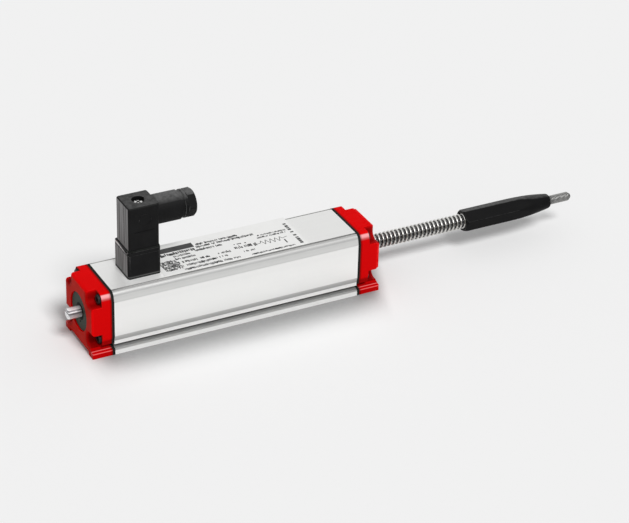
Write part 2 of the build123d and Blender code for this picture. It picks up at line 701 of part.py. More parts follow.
def gland_nut():
    """A collar, a narrow groove and a six-sided grip with a rounded end."""
    groove_start = nut_start + NUT_COLLAR_LENGTH
    grip_start = groove_start + NUT_GROOVE_LENGTH
    barrel = cylinder_x(NUT_DIAMETER / 2, nut_start, nut_end, 0, gland_height)
    barrel = chamfer(barrel.edges().group_by(Axis.X)[-1], NUT_END_BEVEL)
    grip = barrel & hexagon_x(NUT_FLATS, grip_start, nut_end, 0, gland_height)
    nut = grip + cylinder_x(NUT_DIAMETER / 2, nut_start, groove_start, 0, gland_height)
    nut += cylinder_x(NUT_FLATS / 2, groove_start, grip_start, 0, gland_height)
    thread_end = nut_start + GLAND_THREAD_LENGTH
    thread = GLAND_THREAD_DIAMETER / 2 + THREAD_CLEARANCE
    nut -= cylinder_x(thread, nut_start - 1, thread_end, 0, gland_height)
    return nut - cylinder_x(CORD_HOLE_DIAMETER / 2, nut_start, nut_end + 1, 0, gland_height)


def label_film():
    """A thin film between the two top grooves, from the connector forwards."""
    start = block_x + BLOCK_SIZE / 2 + SEAT_CLEARANCE
    width = 2 * (half_width - TOP_GROOVE_INSET - TOP_GROOVE_WIDTH)
    film = Rectangle(label_end - start, width)
    return Pos((label_end + start) / 2, 0, PROFILE_HEIGHT) * extrude(film, LABEL_THICKNESS)


front_cap = end_cap()
front_gasket = gasket()

pieces = {
    "housing_profile": housing_profile(),
    "front_gasket": front_gasket,
    "rear_gasket": mirror(front_gasket, Plane.YZ),
    "front_cap": front_cap,
    "rear_cap": mirror(front_cap, Plane.YZ),
    "cap_screws": cap_screws(),
    "front_bush": front_bush(),
    "rear_bush": rear_bush(),
    "rod_seals": rod_seals(),
    "resistance_track": resistance_track(),
    "track_wires": track_wires(),
    "connector_gasket": connector_gasket(),
    "connector_block": connector_block(),
    "block_screws": block_screws(),
    "contact_blades": contact_blades(),
    "plug_gasket": plug_gasket(),
    "plug_housing": plug_housing(),
    "contact_insert": contact_insert(),
    "terminal_screws": terminal_screws(),
    "plug_screw": plug_screw(),
    "gland_seal": gland_seal(),
    "gland_washer": gland_washer(),
    "gland_nut": gland_nut(),
    "label_film": label_film(),
    "return_spring": return_spring(),
    "carriage": carriage(),
    "wiper_contacts": wiper_contacts(),
    "guide_rod": guide_rod(),
    "retaining_rings": retaining_rings(),
    "tip_holder": tip_holder(),
    "tip_stud": tip_stud(),
}

for name, piece in pieces.items():
    save(piece, name)
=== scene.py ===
import math

import bmesh
import bpy
from mathutils import Matrix, Vector


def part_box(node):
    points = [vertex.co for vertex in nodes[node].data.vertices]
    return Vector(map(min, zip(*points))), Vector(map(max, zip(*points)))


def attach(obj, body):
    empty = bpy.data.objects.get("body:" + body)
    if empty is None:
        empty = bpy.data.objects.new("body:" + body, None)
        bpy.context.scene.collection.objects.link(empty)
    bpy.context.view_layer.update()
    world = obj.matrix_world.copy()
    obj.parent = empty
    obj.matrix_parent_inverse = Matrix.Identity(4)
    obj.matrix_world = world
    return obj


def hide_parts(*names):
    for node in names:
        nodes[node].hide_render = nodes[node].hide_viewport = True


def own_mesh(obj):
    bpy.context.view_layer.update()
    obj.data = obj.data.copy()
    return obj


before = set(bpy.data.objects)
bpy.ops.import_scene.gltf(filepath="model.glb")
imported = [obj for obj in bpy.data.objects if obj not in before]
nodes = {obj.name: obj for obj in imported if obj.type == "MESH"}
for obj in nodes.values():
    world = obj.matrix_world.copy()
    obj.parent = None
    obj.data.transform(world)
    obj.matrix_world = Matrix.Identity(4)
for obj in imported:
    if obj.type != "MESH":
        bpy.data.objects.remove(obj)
scene = bpy.context.scene
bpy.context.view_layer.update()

# Lengths below are in millimetres, in the part's own frame, and become metres when a mesh is made.
MM = 0.001


def node_box(name):
    """Lowest and highest corner of a node, in millimetres."""
    low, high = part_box(name)
    return low / MM, high / MM


# Sizes and places that pieces and finishes share. Painted shade that follows the housing's section runs
# over a span that is a little more than its width and height.

ROD_HEIGHT = 18.6
ROD_RADIUS = 3.0
# Height of a painted dark reflection along the spring
DARK_REFLECTION_HEIGHT = ROD_HEIGHT + 1.3
RING_WIDTH = 0.7
CAP_SCREW_HEAD = 2.5
CAP_SCREWS_ASIDE = 13.6
CAP_SCREW_HEIGHTS = (8.9, 31.9)
PLUG_PLACE = -47.5
SECTION_SPAN = 36.0

# Where the real object's forms differ from the solids: the lips over the grooves, the faces of the front cap,
# the hood and the screws, the ends of the holder and the stud, and the far edge of the label

LIP_DROP = 0.95
CAP_REACH = 0.7
HOOD_REACH = 0.75
SCREW_RISE = 0.9
HOLDER_REACH = 1.2
STUD_REACH = 0.9
PLUG_SCREW_FACE = node_box("plug_screw")[1].z - 0.7
LABEL_FAR_EDGE = 16.2

# Thickness of the ink on the label

INK = 0.02


# Node trees, for materials and for shapes


def put(tree, kind, values=None, **options):
    """Adds a node, sets its options and fills its inputs with plain values or with other sockets."""
    made = tree.nodes.new(kind)
    for option, choice in options.items():
        setattr(made, option, choice)
    for key, value in (values or {}).items():
        if isinstance(value, bpy.types.NodeSocket):
            tree.links.new(value, made.inputs[key])
        else:
            made.inputs[key].default_value = value
    return made


def math_node(tree, operation, first, second=0.0):
    return put(tree, "ShaderNodeMath", {0: first, 1: second}, operation=operation).outputs[0]


def vector(tree, x=0.0, y=0.0, z=0.0):
    return put(tree, "ShaderNodeCombineXYZ", {"X": x, "Y": y, "Z": z}).outputs[0]


def vector_math(tree, operation, first, second=(0.0, 0.0, 0.0)):
    return put(tree, "ShaderNodeVectorMath", {0: first, 1: second}, operation=operation).outputs


def ramp(tree, value, start, full, low=0.0, high=1.0, **options):
    """Goes from low to high while a value goes from start to full, and stays there past them."""
    ends = {"Value": value, "From Min": start, "From Max": full, "To Min": low, "To Max": high}
    return put(tree, "ShaderNodeMapRange", ends, **options).outputs["Result"]


def noise(tree, place, per_mm, detail=2.0, distortion=0.0):
    """Cloudy noise, finer the more patches there are in a millimetre."""
    sizes = {"Vector": place, "Scale": per_mm, "Detail": detail, "Distortion": distortion}
    return put(tree, "ShaderNodeTexNoise", sizes).outputs["Fac"]


SIZE_SOCKETS = {float: "NodeSocketFloat", int: "NodeSocketInt"}


def new_tree(kind, name, inputs, outputs):
    """A node group with named sockets, each given by its kind or, for a size, by its plain value.

    Returns the tree, its inputs by name and its output node."""
    tree = bpy.data.node_groups.new(name, kind)
    for socket_name, value in inputs.items():
        socket_kind = SIZE_SOCKETS.get(type(value), value)
        socket = tree.interface.new_socket(name=socket_name, in_out="INPUT", socket_type=socket_kind)
        if type(value) in SIZE_SOCKETS:
            socket.default_value = value
    for socket_name, socket_kind in outputs.items():
        tree.interface.new_socket(name=socket_name, in_out="OUTPUT", socket_type=socket_kind)
    return tree, tree.nodes.new("NodeGroupInput").outputs, tree.nodes.new("NodeGroupOutput")


# Surface effects that several materials share


def effect_group(name, sizes, masks):
    """A shader group that reads a place and some sizes and puts out masks."""
    outputs = {mask: "NodeSocketFloat" for mask in masks}
    return new_tree("ShaderNodeTree", name, {"Position": "NodeSocketVector", **sizes}, outputs)


def close_effect(tree, out, **masks):
    for name, mask in masks.items():
        tree.links.new(mask, out.inputs[name])
    return tree


def moulded_grain_group():
    """Fine spark-eroded grain of a mould, and the broad cloudiness of a moulded face."""
    sizes = {"Grain per mm": 6.0, "Cloud per mm": 0.12}
    tree, given, out = effect_group("moulded_grain", sizes, ("Grain", "Cloud"))
    grain = noise(tree, given["Position"], given["Grain per mm"], 3.0)
    cloud = noise(tree, given["Position"], given["Cloud per mm"])
    return close_effect(tree, out, Grain=grain, Cloud=ramp(tree, cloud, 0.3, 0.7))


def drawn_lines_group():
    """Fine lines that run along X, as a die or a grinder leaves them."""
    sizes = {"Lines per mm": 3.0, "Run": 0.01}
    tree, given, out = effect_group("drawn_lines", sizes, ("Lines", "Bands"))
    squeeze = vector(tree, given["Run"], 1.0, 1.0)
    stretched = vector_math(tree, "MULTIPLY", given["Position"], squeeze)["Vector"]
    lines = noise(tree, stretched, given["Lines per mm"], 4.0)
    bands = noise(tree, stretched, 0.35, 1.0)
    return close_effect(tree, out, Lines=lines, Bands=bands)


def handled_group():
    """Faint smears that fingers leave, for the gloss of a surface."""
    tree, given, out = effect_group("handled", {"Smears per mm": 0.2}, ("Smear",))
    broad = noise(tree, given["Position"], given["Smears per mm"], 5.0, 1.4)
    return close_effect(tree, out, Smear=ramp(tree, broad, 0.42, 0.66))


def rubbed_edge_highlight_group():
    """Where an outer edge is rubbed or given a painted highlight: the piece's edge attribute, broken up by
    noise.
    """
    tree, given, out = effect_group("rubbed_edge_highlight", {"Patches per mm": 0.8}, ("Rub",))
    edge = put(tree, "ShaderNodeAttribute", attribute_name="edge").outputs["Fac"]
    patches = noise(tree, given["Position"], given["Patches per mm"], 4.0)
    rub_and_highlight_mask = math_node(tree, "MULTIPLY", edge, ramp(tree, patches, 0.35, 0.6))
    return close_effect(tree, out, Rub=rub_and_highlight_mask)


def dust_and_sheen_group():
    """A dusting and a painted sheen on what faces up, thicker in patches."""
    sizes = {"Patches per mm": 0.5, "Level": 0.55}
    tree, given, out = effect_group("settled_dust_and_sheen", sizes, ("Dust",))
    normal = put(tree, "ShaderNodeTexCoord").outputs["Normal"]
    upward = put(tree, "ShaderNodeSeparateXYZ", {0: normal}).outputs["Z"]
    patches = noise(tree, given["Position"], given["Patches per mm"], 3.0)
    lying = ramp(tree, upward, given["Level"], 0.98)
    dust_and_sheen = math_node(tree, "MULTIPLY", lying, ramp(tree, patches, 0.1, 0.7))
    return close_effect(tree, out, Dust=dust_and_sheen)


MOULDED_GRAIN = moulded_grain_group()
DRAWN_LINES = drawn_lines_group()
HANDLED = handled_group()
RUBBED_EDGE_HIGHLIGHT = rubbed_edge_highlight_group()
DUST_AND_SHEEN = dust_and_sheen_group()


def grey(tone):
    return (tone, tone, tone)


class Finish:
    """A material: its shader, its place in millimetres and the shared effects it uses."""

    def __init__(self, name, colour, roughness, **plain):
        self.material = bpy.data.materials.new(name)
        self.material.use_nodes = True
        self.tree = self.material.node_tree
        self.shader = self.tree.nodes["Principled BSDF"]
        self.colour = (*colour, 1.0)
        self.roughness = roughness
        self.shader.inputs["Base Color"].default_value = self.colour
        self.shader.inputs["Roughness"].default_value = roughness
        for socket_name, value in plain.items():
            socket_name = socket_name.replace("_", " ").title().replace("Ior", "IOR")
            self.shader.inputs[socket_name].default_value = value
        coordinates = put(self.tree, "ShaderNodeTexCoord")
        mapping = put(self.tree, "ShaderNodeMapping", {"Vector": coordinates.outputs["Object"]})
        mapping.inputs["Scale"].default_value = (1 / MM, 1 / MM, 1 / MM)
        self.position = mapping.outputs["Vector"]
        self.base = None

    def effect(self, group, **sizes):
        made = put(self.tree, "ShaderNodeGroup", node_tree=group)
        self.tree.links.new(self.position, made.inputs["Position"])
        for size_name, value in sizes.items():
            made.inputs[size_name.replace("_", " ")].default_value = value
        return made.outputs

    def combine(self, operation, first, second=0.0):
        return math_node(self.tree, operation, first, second)

    def ramp(self, value, start, full, low=0.0, high=1.0):
        return ramp(self.tree, value, start, full, low, high)

    def overlap(self, first, *others):
        """Where all the masks are 1. A plain share weakens them."""
        for other in others:
            first = self.combine("MULTIPLY", first, other)
        return first

    def along(self, axis):
        """One coordinate of the place, in millimetres."""
        return put(self.tree, "ShaderNodeSeparateXYZ", {0: self.position}).outputs[axis]

    def distance(self, aside, rise):
        """The length of two steps at right angles."""
        return vector_math(self.tree, "LENGTH", vector(self.tree, aside, rise))["Value"]

    def facing(self, way, start, full):
        """Rises from 0 to 1 as the surface turns to face a way."""
        normal = put(self.tree, "ShaderNodeTexCoord").outputs["Normal"]
        return self.ramp(vector_math(self.tree, "DOT_PRODUCT", normal, way)["Value"], start, full)

    def bands(self, value, full, stops):
        """A tone that follows a value: each stop is (value, tone)."""
        share = self.combine("DIVIDE", value, full)
        colours = put(self.tree, "ShaderNodeValToRGB", {"Fac": share})
        steps = colours.color_ramp.elements
        for index, (place, tone) in enumerate(stops):
            step = steps[index] if index < 2 else steps.new(place / full)
            step.position = place / full
            step.color = (*grey(tone), 1.0)
        return colours.outputs["Color"]

    def ridge(self, value, centre, half_width):
        """A thin line where a value passes its centre."""
        off = self.combine("ABSOLUTE", self.combine("SUBTRACT", value, centre))
        return self.ramp(off, half_width, half_width / 2)

    def feed(self, socket_name, value):
        self.tree.links.new(value, self.shader.inputs[socket_name])

    def mix(self, values, **options):
        """Mixes the base with another colour and feeds the result to the shader."""
        under = self.colour if self.base is None else self.base
        mixed = put(self.tree, "ShaderNodeMix", {"A": under, **values}, data_type="RGBA", **options)
        self.base = mixed.outputs["Result"]
        self.feed("Base Color", self.base)

    def multiply(self, tone):
        """Darkens the base by a tone."""
        self.mix({"Factor": 1.0, "B": tone}, blend_type="MULTIPLY")

    def tint(self, mask, colour):
        """Lays another colour over the base where the mask is 1."""
        self.mix({"Factor": mask, "B": (*colour, 1.0)})

    def gloss(self, mask, change):
        """Changes the roughness by up to the given amount where the mask is 1."""
        self.feed("Roughness", self.ramp(mask, 0.0, 1.0, self.roughness, self.roughness + change))

    def smears(self, per_mm, change):
        """Finger marks in the gloss."""
        self.gloss(self.effect(HANDLED, Smears_per_mm=per_mm)["Smear"], change)

    def relief(self, height, depth, strength):
        """Raises the surface by a height from 0 to 1, at a depth in millimetres."""
        raised = {"Height": height, "Distance": depth * MM, "Strength": strength}
        self.feed("Normal", put(self.tree, "ShaderNodeBump", raised).outputs["Normal"])

    def machined(self, lines):
        """Finger marks over fine lines, as on all machined metal."""
        self.smears(0.5, 0.08)
        self.relief(lines, 0.004, 0.5)


def aluminium_profile():
    """Drawn and anodised, with painted shade and reflection: brighter low on its sides, and darker in the
    grooves and round them.
    """
    metallic, matt, matt_lip = 0.78, 0.3, 0.35
    finish = Finish("aluminium_profile", (0.98, 0.98, 0.966), 0.42, metallic=metallic)
    lines = finish.effect(DRAWN_LINES, Lines_per_mm=4.0, Run=0.006)
    finish.tint(lines["Bands"], (0.95, 0.95, 0.938))

    # Painted shade and reflection up the section, as heights and shares: darker in the grooves and under the
    # lips, and dark bands on the leaning side and upper edge that paint the rounded corner's reflection
    # darker
    height = finish.along("Z")
    foot_and_groove = [(0.0, 1.0), (2.1, 1.0), (2.9, 0.55), (3.4, 0.36), (4.2, 0.33), (5.0, 0.32)]
    lip = [(5.3, 0.95), (7.4, 1.0), (7.7, 0.50), (10.2, 0.60)]
    side = [(10.7, 1.0), (20.0, 0.94), (29.7, 0.88)]
    leaning_side = [(30.3, 0.62), (30.9, 0.67), (33.0, 0.60), (33.7, 0.39), (34.3, 0.31), (34.8, 0.39)]
    rim = [(35.3, 0.62), (35.5, 0.84)]
    tone = finish.bands(height, SECTION_SPAN, foot_and_groove + lip + side + leaning_side + rim)
    # The far rounded rim is kept clear of the painted shade
    far_rim = finish.overlap(finish.ramp(height, 34.2, 34.8), finish.ramp(finish.along("Y"), 14.5, 15.5))

    # Less metallic on the foot and the lip, and on the flat top near the connector, where painted light also
    # lifts the colour against the connector's shade and reflection
    from_block = finish.combine("ABSOLUTE", finish.combine("ADD", finish.along("X"), -PLUG_PLACE))
    flat_top = finish.facing((0.0, 0.0, 1.0), 0.97, 0.99)
    painted_light_near_block = finish.overlap(finish.ramp(from_block, 32.0, 9.0), flat_top)
    metal_foot_and_groove = [(0.0, matt), (2.3, matt), (2.8, metallic), (5.2, metallic)]
    metal_lip = [(5.5, matt_lip), (7.4, matt_lip), (7.8, metallic)]
    metal_by_height = finish.bands(height, SECTION_SPAN, metal_foot_and_groove + metal_lip)
    metal = finish.combine("MINIMUM", finish.ramp(painted_light_near_block, 0.0, 1.0, metallic, matt), metal_by_height)
    finish.feed("Metallic", metal)
    far_rim = finish.combine("MAXIMUM", far_rim, painted_light_near_block)
    # The painted shade darkens the base, except on the far rim and where painted light lifts it near the
    # connector
    finish.multiply(finish.combine("MAXIMUM", tone, far_rim))

    # Painted shade across the top, in and beside its two fine grooves
    from_side = finish.combine("ADD", finish.along("Y"), SECTION_SPAN / 2)
    near_groove = [(0.0, 1.0), (2.3, 1.0), (2.6, 0.76), (3.2, 0.66), (4.4, 0.62), (4.6, 1.0)]
    far_groove = [(31.4, 1.0), (31.6, 0.85), (32.6, 0.85), (32.8, 1.0)]
    finish.multiply(finish.bands(from_side, SECTION_SPAN, near_groove + far_groove))
    finish.smears(0.08, 0.07)
    finish.relief(lines["Lines"], 0.006, 0.6)
    return finish.material


def red_cap():
    """Moulded red, with painted shade on its browner ends and round the screws in their pockets, a polished
    near corner with a painted highlight, and painted highlights along the foot's edges.
    """
    finish = Finish("red_cap", (0.70, 0.0012, 0.002), 0.5, specular_ior_level=0.02, coat_roughness=0.32)
    grain = finish.effect(MOULDED_GRAIN, Grain_per_mm=5.0, Cloud_per_mm=0.1)
    finish.tint(grain["Cloud"], (0.65, 0.001, 0.0015))
    # Painted shade: the end faces browner and darker, and the near side darker
    ends = (finish.facing((way, 0.0, 0.0), 0.85, 0.98) for way in (1.0, -1.0))
    finish.tint(finish.combine("ADD", *ends), (0.46, 0.012, 0.006))
    finish.tint(finish.facing((0.0, -1.0, 0.0), 0.9, 0.98), (0.57, 0.001, 0.0015))
    # Edges lighter where rubbed, partly worn and partly a painted highlight
    finish.tint(finish.effect(RUBBED_EDGE_HIGHLIGHT, Patches_per_mm=0.7)["Rub"], (0.74, 0.02, 0.02))

    # Painted shade in the pockets of the screws
    height = finish.along("Z")
    aside = finish.combine("ABSOLUTE", finish.along("Y"))
    across = finish.combine("SUBTRACT", aside, CAP_SCREWS_ASIDE)
    screws = (finish.distance(across, finish.combine("SUBTRACT", height, at)) for at in CAP_SCREW_HEIGHTS)
    pocket_shade = finish.ramp(finish.combine("MINIMUM", *screws), 6.2, 2.4)
    inside = finish.ramp(aside, 17.2, 16.6)
    under = finish.ramp(height, 35.2, 34.4)
    finish.tint(finish.overlap(pocket_shade, inside, under, 0.9), (0.07, 0.001, 0.001))

    # Painted shade in the groove along the side, and painted highlights along the foot's edges
    foot = [(0.0, 0.8), (2.4, 0.8), (2.6, 1.0), (3.1, 1.0)]
    groove = [(3.4, 0.62), (5.5, 0.45), (7.5, 0.75), (10.0, 1.0)]
    outer = finish.ramp(aside, 14.8, 15.6)
    groove_shade = finish.combine("SUBTRACT", 1.0, finish.bands(height, SECTION_SPAN, foot + groove))
    finish.tint(finish.overlap(groove_shade, outer), (0.12, 0.001, 0.001))
    # Painted highlight lines along the foot's edges
    upper_line = finish.overlap(finish.ridge(aside, 16.35, 0.3), finish.ramp(height, 4.9, 4.6))
    lower_line = finish.overlap(finish.ridge(height, 2.85, 0.3), outer)
    finish.tint(finish.combine("MAXIMUM", upper_line, lower_line), (0.82, 0.15, 0.15))

    # The polished corner with a painted highlight, and painted shade next to the gasket
    near = finish.facing((0.0, -0.707, 0.707), 0.80, 0.97)
    corner = finish.overlap(near, finish.ramp(height, 31.6, 32.4), finish.ramp(aside, 15.4, 15.9))
    finish.tint(corner, (0.80, 0.30, 0.31))
    finish.feed("Coat Weight", corner)
    # Painted shade along the joint with the gasket
    seam = finish.ramp(finish.combine("ABSOLUTE", finish.along("X")), 71.1, 70.0)
    finish.tint(finish.overlap(seam, 0.7), (0.06, 0.002, 0.001))
    finish.gloss(grain["Cloud"], 0.08)
    finish.relief(grain["Grain"], 0.01, 0.4)
    return finish.material


def black_plastic(name, colour, roughness, grain_per_mm, dust_and_sheen_level, painted_sheen=False):
    """Glass-filled black plastic with a dull grain, lighter edges that are partly worn and partly a painted
    highlight, a dusting and a painted sheen on what faces up, and a painted sheen in streaks where it is
    asked for.
    """
    finish = Finish(name, colour, roughness, specular_ior_level=0.06)
    dust_and_sheen = finish.effect(DUST_AND_SHEEN, Patches_per_mm=0.5, Level=dust_and_sheen_level)["Dust"]
    grain = finish.effect(MOULDED_GRAIN, Grain_per_mm=grain_per_mm, Cloud_per_mm=0.15)
    finish.tint(grain["Cloud"], [1.35 * part for part in colour])
    if painted_sheen:
        connector_painted_sheen(finish)
    # Edges lighter where rubbed, partly worn and partly a painted highlight
    finish.tint(finish.effect(RUBBED_EDGE_HIGHLIGHT, Patches_per_mm=1.1)["Rub"], grey(0.03))
    # A dusting and a painted sheen on what faces up
    finish.tint(dust_and_sheen, grey(0.075))
    if painted_sheen:
        # A brighter painted sheen on the arm's round top
        on_arm = finish.ramp(finish.along("X"), -39.5, -38.5)
        finish.tint(finish.overlap(dust_and_sheen, on_arm), grey(0.12))
    finish.smears(0.25, -0.06)
    finish.relief(grain["Grain"], 0.012, 0.4)
    return finish.material


def connector_painted_sheen(finish):
    """A painted sheen in upright streaks and a painted highlight on a ledge of the connector's rear face, and
    a grey painted highlight along its foot.
    """
    rear = finish.facing((-1.0, 0.0, 0.0), 0.97, 0.995)
    stretched = vector_math(finish.tree, "MULTIPLY", finish.position, (0.1, 1.0, 0.05))["Vector"]
    streaks = finish.ramp(noise(finish.tree, stretched, 0.7, 4.0), 0.1, 0.7)
    # Painted sheen on the rear face, in upright streaks
    finish.tint(finish.overlap(rear, streaks), grey(0.28))
    # Painted highlight on a ledge of the rear face
    finish.tint(finish.overlap(rear, finish.ridge(finish.along("Z"), 49.85, 1.2)), grey(0.75))
    # Painted highlight along the foot
    finish.tint(finish.ridge(finish.along("Z"), 36.5, 0.7), grey(0.07))


def rubber(name, colour):
    finish = Finish(name, colour, 0.72, specular_ior_level=0.06)
    grain = finish.effect(MOULDED_GRAIN, Grain_per_mm=9.0, Cloud_per_mm=0.4)
    finish.tint(grain["Cloud"], [1.6 * part for part in colour])
    finish.gloss(grain["Cloud"], 0.1)
    finish.relief(grain["Grain"], 0.02, 0.6)
    return finish.material


def turned_metal(name, colour, shade, roughness, lines_per_mm, run, metallic=1.0, shade_below_height=None):
    """Metal with fine lines along X, and painted shade below the height of its bright face if it has one."""
    finish = Finish(name, colour, roughness, metallic=metallic, specular_ior_level=0.2)
    lines = finish.effect(DRAWN_LINES, Lines_per_mm=lines_per_mm, Run=run)
    finish.tint(lines["Bands"], shade)
    if shade_below_height:
        # Painted shade on the head's sides below its bright face
        finish.tint(finish.ramp(finish.along("Z"), shade_below_height, shade_below_height - 0.06), grey(0.10))
    finish.machined(lines["Lines"])
    return finish.material


def rod_steel():
    """Ground steel with fine scratches, two painted dark reflection lines along it, and painted shade where
    the spring covers it.
    """
    finish = Finish("rod_steel", (0.88, 0.88, 0.89), 0.30, metallic=0.6)
    scratches = finish.effect(DRAWN_LINES, Lines_per_mm=0.8, Run=0.004)["Lines"]
    finish.tint(finish.ramp(scratches, 0.50, 0.60), (0.45, 0.45, 0.46))
    # Two painted dark reflection lines along the rod
    upper = finish.ridge(finish.along("Z"), ROD_HEIGHT + 2.15, 0.42)
    lower = finish.ridge(finish.along("Z"), ROD_HEIGHT + 0.95, 0.5)
    finish.tint(finish.combine("MAXIMUM", upper, lower), (0.16, 0.15, 0.16))
    # Painted shade on the stretch that the spring covers
    from_tail = finish.combine("ADD", finish.along("X"), 90.0)
    shade_under_spring = [(0.0, 1.0), (141.0, 1.0), (143.0, 0.2), (234.0, 0.2), (235.0, 1.0)]
    finish.multiply(finish.bands(from_tail, 250.0, shade_under_spring))
    finish.machined(scratches)
    return finish.material


def grooved_steel(name, colour, shade, dark_radius, bright_radius, depth_tone, reflection_band_height=None):
    """Bright metal with painted shade down between its coils or threads, and a painted dark reflection along
    a band if it has one.
    """
    finish = Finish(name, colour, 0.37, metallic=1.0)
    lines = finish.effect(DRAWN_LINES, Lines_per_mm=5.0, Run=0.5)
    finish.tint(lines["Bands"], shade)
    off_axis = finish.distance(finish.along("Y"), finish.combine("SUBTRACT", finish.along("Z"), ROD_HEIGHT))
    # Painted shade down between the coils or threads
    crests = [(0.0, depth_tone), (dark_radius, depth_tone), (bright_radius, 1.0)]
    finish.multiply(finish.bands(off_axis, 6.0, crests))
    if reflection_band_height:
        # A painted dark reflection along a band
        band = finish.ridge(finish.along("Z"), reflection_band_height, 1.55)
        finish.tint(finish.overlap(band, 0.8), (0.10, 0.095, 0.08))
    finish.machined(lines["Lines"])
    return finish.material


def plain_moulding(name, colour, shade, roughness, shine=0.3):
    finish = Finish(name, colour, roughness, specular_ior_level=shine)
    grain = finish.effect(MOULDED_GRAIN, Grain_per_mm=4.0, Cloud_per_mm=0.2)
    finish.tint(grain["Cloud"], shade)
    finish.gloss(grain["Cloud"], 0.1)
    finish.relief(grain["Grain"], 0.015, 0.5)
    return finish.material


def plain_name(material):
    """A material's name, without the number that a second one of that name gets."""
    return material.name.split(".")[0]


MATERIALS = [
    aluminium_profile(),
    red_cap(),
    rubber("black_rubber", (0.010, 0.011, 0.010)),
    turned_metal("black_screw", (0.008, 0.009, 0.009), (0.016, 0.017, 0.016), 0.42, 5.0, 1.0, metallic=0.0),
    plain_moulding("bush_plastic", (0.026, 0.038, 0.027), (0.034, 0.042, 0.031), 0.5, 0.1),
    plain_moulding("track_laminate", (0.10, 0.055, 0.02), (0.14, 0.075, 0.03), 0.45),
    plain_moulding("wire_insulation", (0.55, 0.08, 0.05), (0.62, 0.10, 0.06), 0.4),
    black_plastic("connector_plastic", (0.0065, 0.0065, 0.0067), 0.5, 6.0, 0.68, painted_sheen=True),
    turned_metal("contact_brass", (0.82, 0.60, 0.26), (0.72, 0.50, 0.20), 0.28, 6.0, 0.3),
    turned_metal("bright_steel", (0.52, 0.52, 0.51), (0.40, 0.40, 0.39), 0.28, 6.0, 0.6),
    grooved_steel("plated_thread", (0.56, 0.56, 0.55), (0.42, 0.42, 0.41), 2.12, 2.42, 0.16),
    rod_steel(),
    grooved_steel("spring_steel", (0.74, 0.735, 0.71), (0.62, 0.615, 0.59), 3.4, 3.95, 0.34, DARK_REFLECTION_HEIGHT),
    turned_metal(
        "plug_screw_steel", (0.88, 0.88, 0.87), (0.70, 0.70, 0.69), 0.20, 6.0, 0.6, 1.0, PLUG_SCREW_FACE
    ),
    plain_moulding("carriage_plastic", (0.72, 0.70, 0.64), (0.66, 0.64, 0.58), 0.42),
    black_plastic("holder_plastic", (0.0035, 0.0035, 0.0037), 0.45, 4.0, 0.84),
    plain_moulding("label_paper", (0.81, 0.81, 0.80), (0.79, 0.79, 0.78), 0.42, 0.15),
    plain_moulding("label_ink", (0.045, 0.045, 0.045), (0.07, 0.07, 0.07), 0.5, 0.1),
]
FINISHES = {plain_name(material): material for material in MATERIALS}


# Making, softening and placing a piece


def new_piece(name, mesh):
    piece = bpy.data.objects.new(name, mesh)
    scene.collection.objects.link(piece)
    return piece


def mesh_from(name, points, faces):
    mesh = bpy.data.meshes.new(name)
    mesh.from_pydata([[value * MM for value in point] for point in points], [], faces)
    mesh.update()
    return mesh


def evaluated(piece):
    """Turns a piece and its modifiers into a plain mesh."""
    graph = bpy.context.evaluated_depsgraph_get()
    graph.update()
    shaped = piece.evaluated_get(graph)
    mesh = bpy.data.meshes.new_from_object(shaped, preserve_all_data_layers=True, depsgraph=graph)
    piece.modifiers.clear()
    piece.data = mesh
    return piece


def faces_outward(mesh):
    """Closes doubled points and turns every face outwards."""
    work = bmesh.new()
    work.from_mesh(mesh)
    bmesh.ops.remove_doubles(work, verts=work.verts, dist=1e-6)
    bmesh.ops.recalc_face_normals(work, faces=work.faces)
    work.to_mesh(mesh)
    work.free()
    mesh.update()
    return mesh


def mark_edges(mesh, edge_rub_and_highlight):
    """Writes how far each point stands on an outer edge, for materials that are rubbed there or given a
    painted highlight there.

    An edge that turns by less than the blunt angle isn't marked, nor is a point in the plane of a face wider
    than so many square millimetres, which would be tinted all over."""
    blunt, sharp, wide = math.radians(24.0), math.radians(30.0), 30.0

    def plane(face):
        return (*(round(part, 2) for part in face.normal), round(face.normal.dot(face.verts[0].co) / MM, 1))

    work = bmesh.new()
    work.from_mesh(mesh)
    values = []
    wide_planes = {plane(face) for face in work.faces if face.calc_area() > wide * MM * MM}
    for vertex in work.verts:
        sharpest = 0.0
        if any(plane(face) in wide_planes for face in vertex.link_faces):
            values.append(0.0)
            continue
        for edge in vertex.link_edges:
            if len(edge.link_faces) == 2 and edge.is_convex:
                sharpest = max(sharpest, edge.calc_face_angle(0.0))
        values.append(edge_rub_and_highlight * min(max((sharpest - blunt) / (sharp - blunt), 0.0), 1.0))
    work.free()
    mesh.attributes.new("edge", "FLOAT", "POINT").data.foreach_set("value", values)


def shade(piece, angle):
    """Smooth shading that breaks only at sharp edges, weighted so that flat faces stay flat."""
    mesh = piece.data
    mesh.polygons.foreach_set("use_smooth", [True] * len(mesh.polygons))
    mesh.set_sharp_from_angle(angle=math.radians(angle))
    weighted = piece.modifiers.new("flat_faces", "WEIGHTED_NORMAL")
    weighted.keep_sharp = True
    weighted.weight = 80
    return evaluated(piece)


def finished(piece, finish, body, *replaced, angle=35.0, slot=None, edge_rub_and_highlight=1.0):
    """Gives a piece its shading, finish and body, and says which nodes it stands for."""
    shade(piece, angle)
    mark_edges(piece.data, edge_rub_and_highlight)
    piece.data.materials.clear()
    piece.data.materials.append(FINISHES[finish])
    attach(piece, body)
    if replaced:
        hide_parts(*replaced)


def cutter(name, mesh):
    return new_piece(name, faces_outward(mesh))


def carve(piece, *tools):
    """Cuts the tools' shapes out of a piece."""
    for tool in tools:
        cut = piece.modifiers.new(tool.name, "BOOLEAN")
        cut.operation = "DIFFERENCE"
        cut.solver = "EXACT"
        cut.object = tool
    evaluated(piece)
    for tool in tools:
        bpy.data.objects.remove(tool)
    return piece


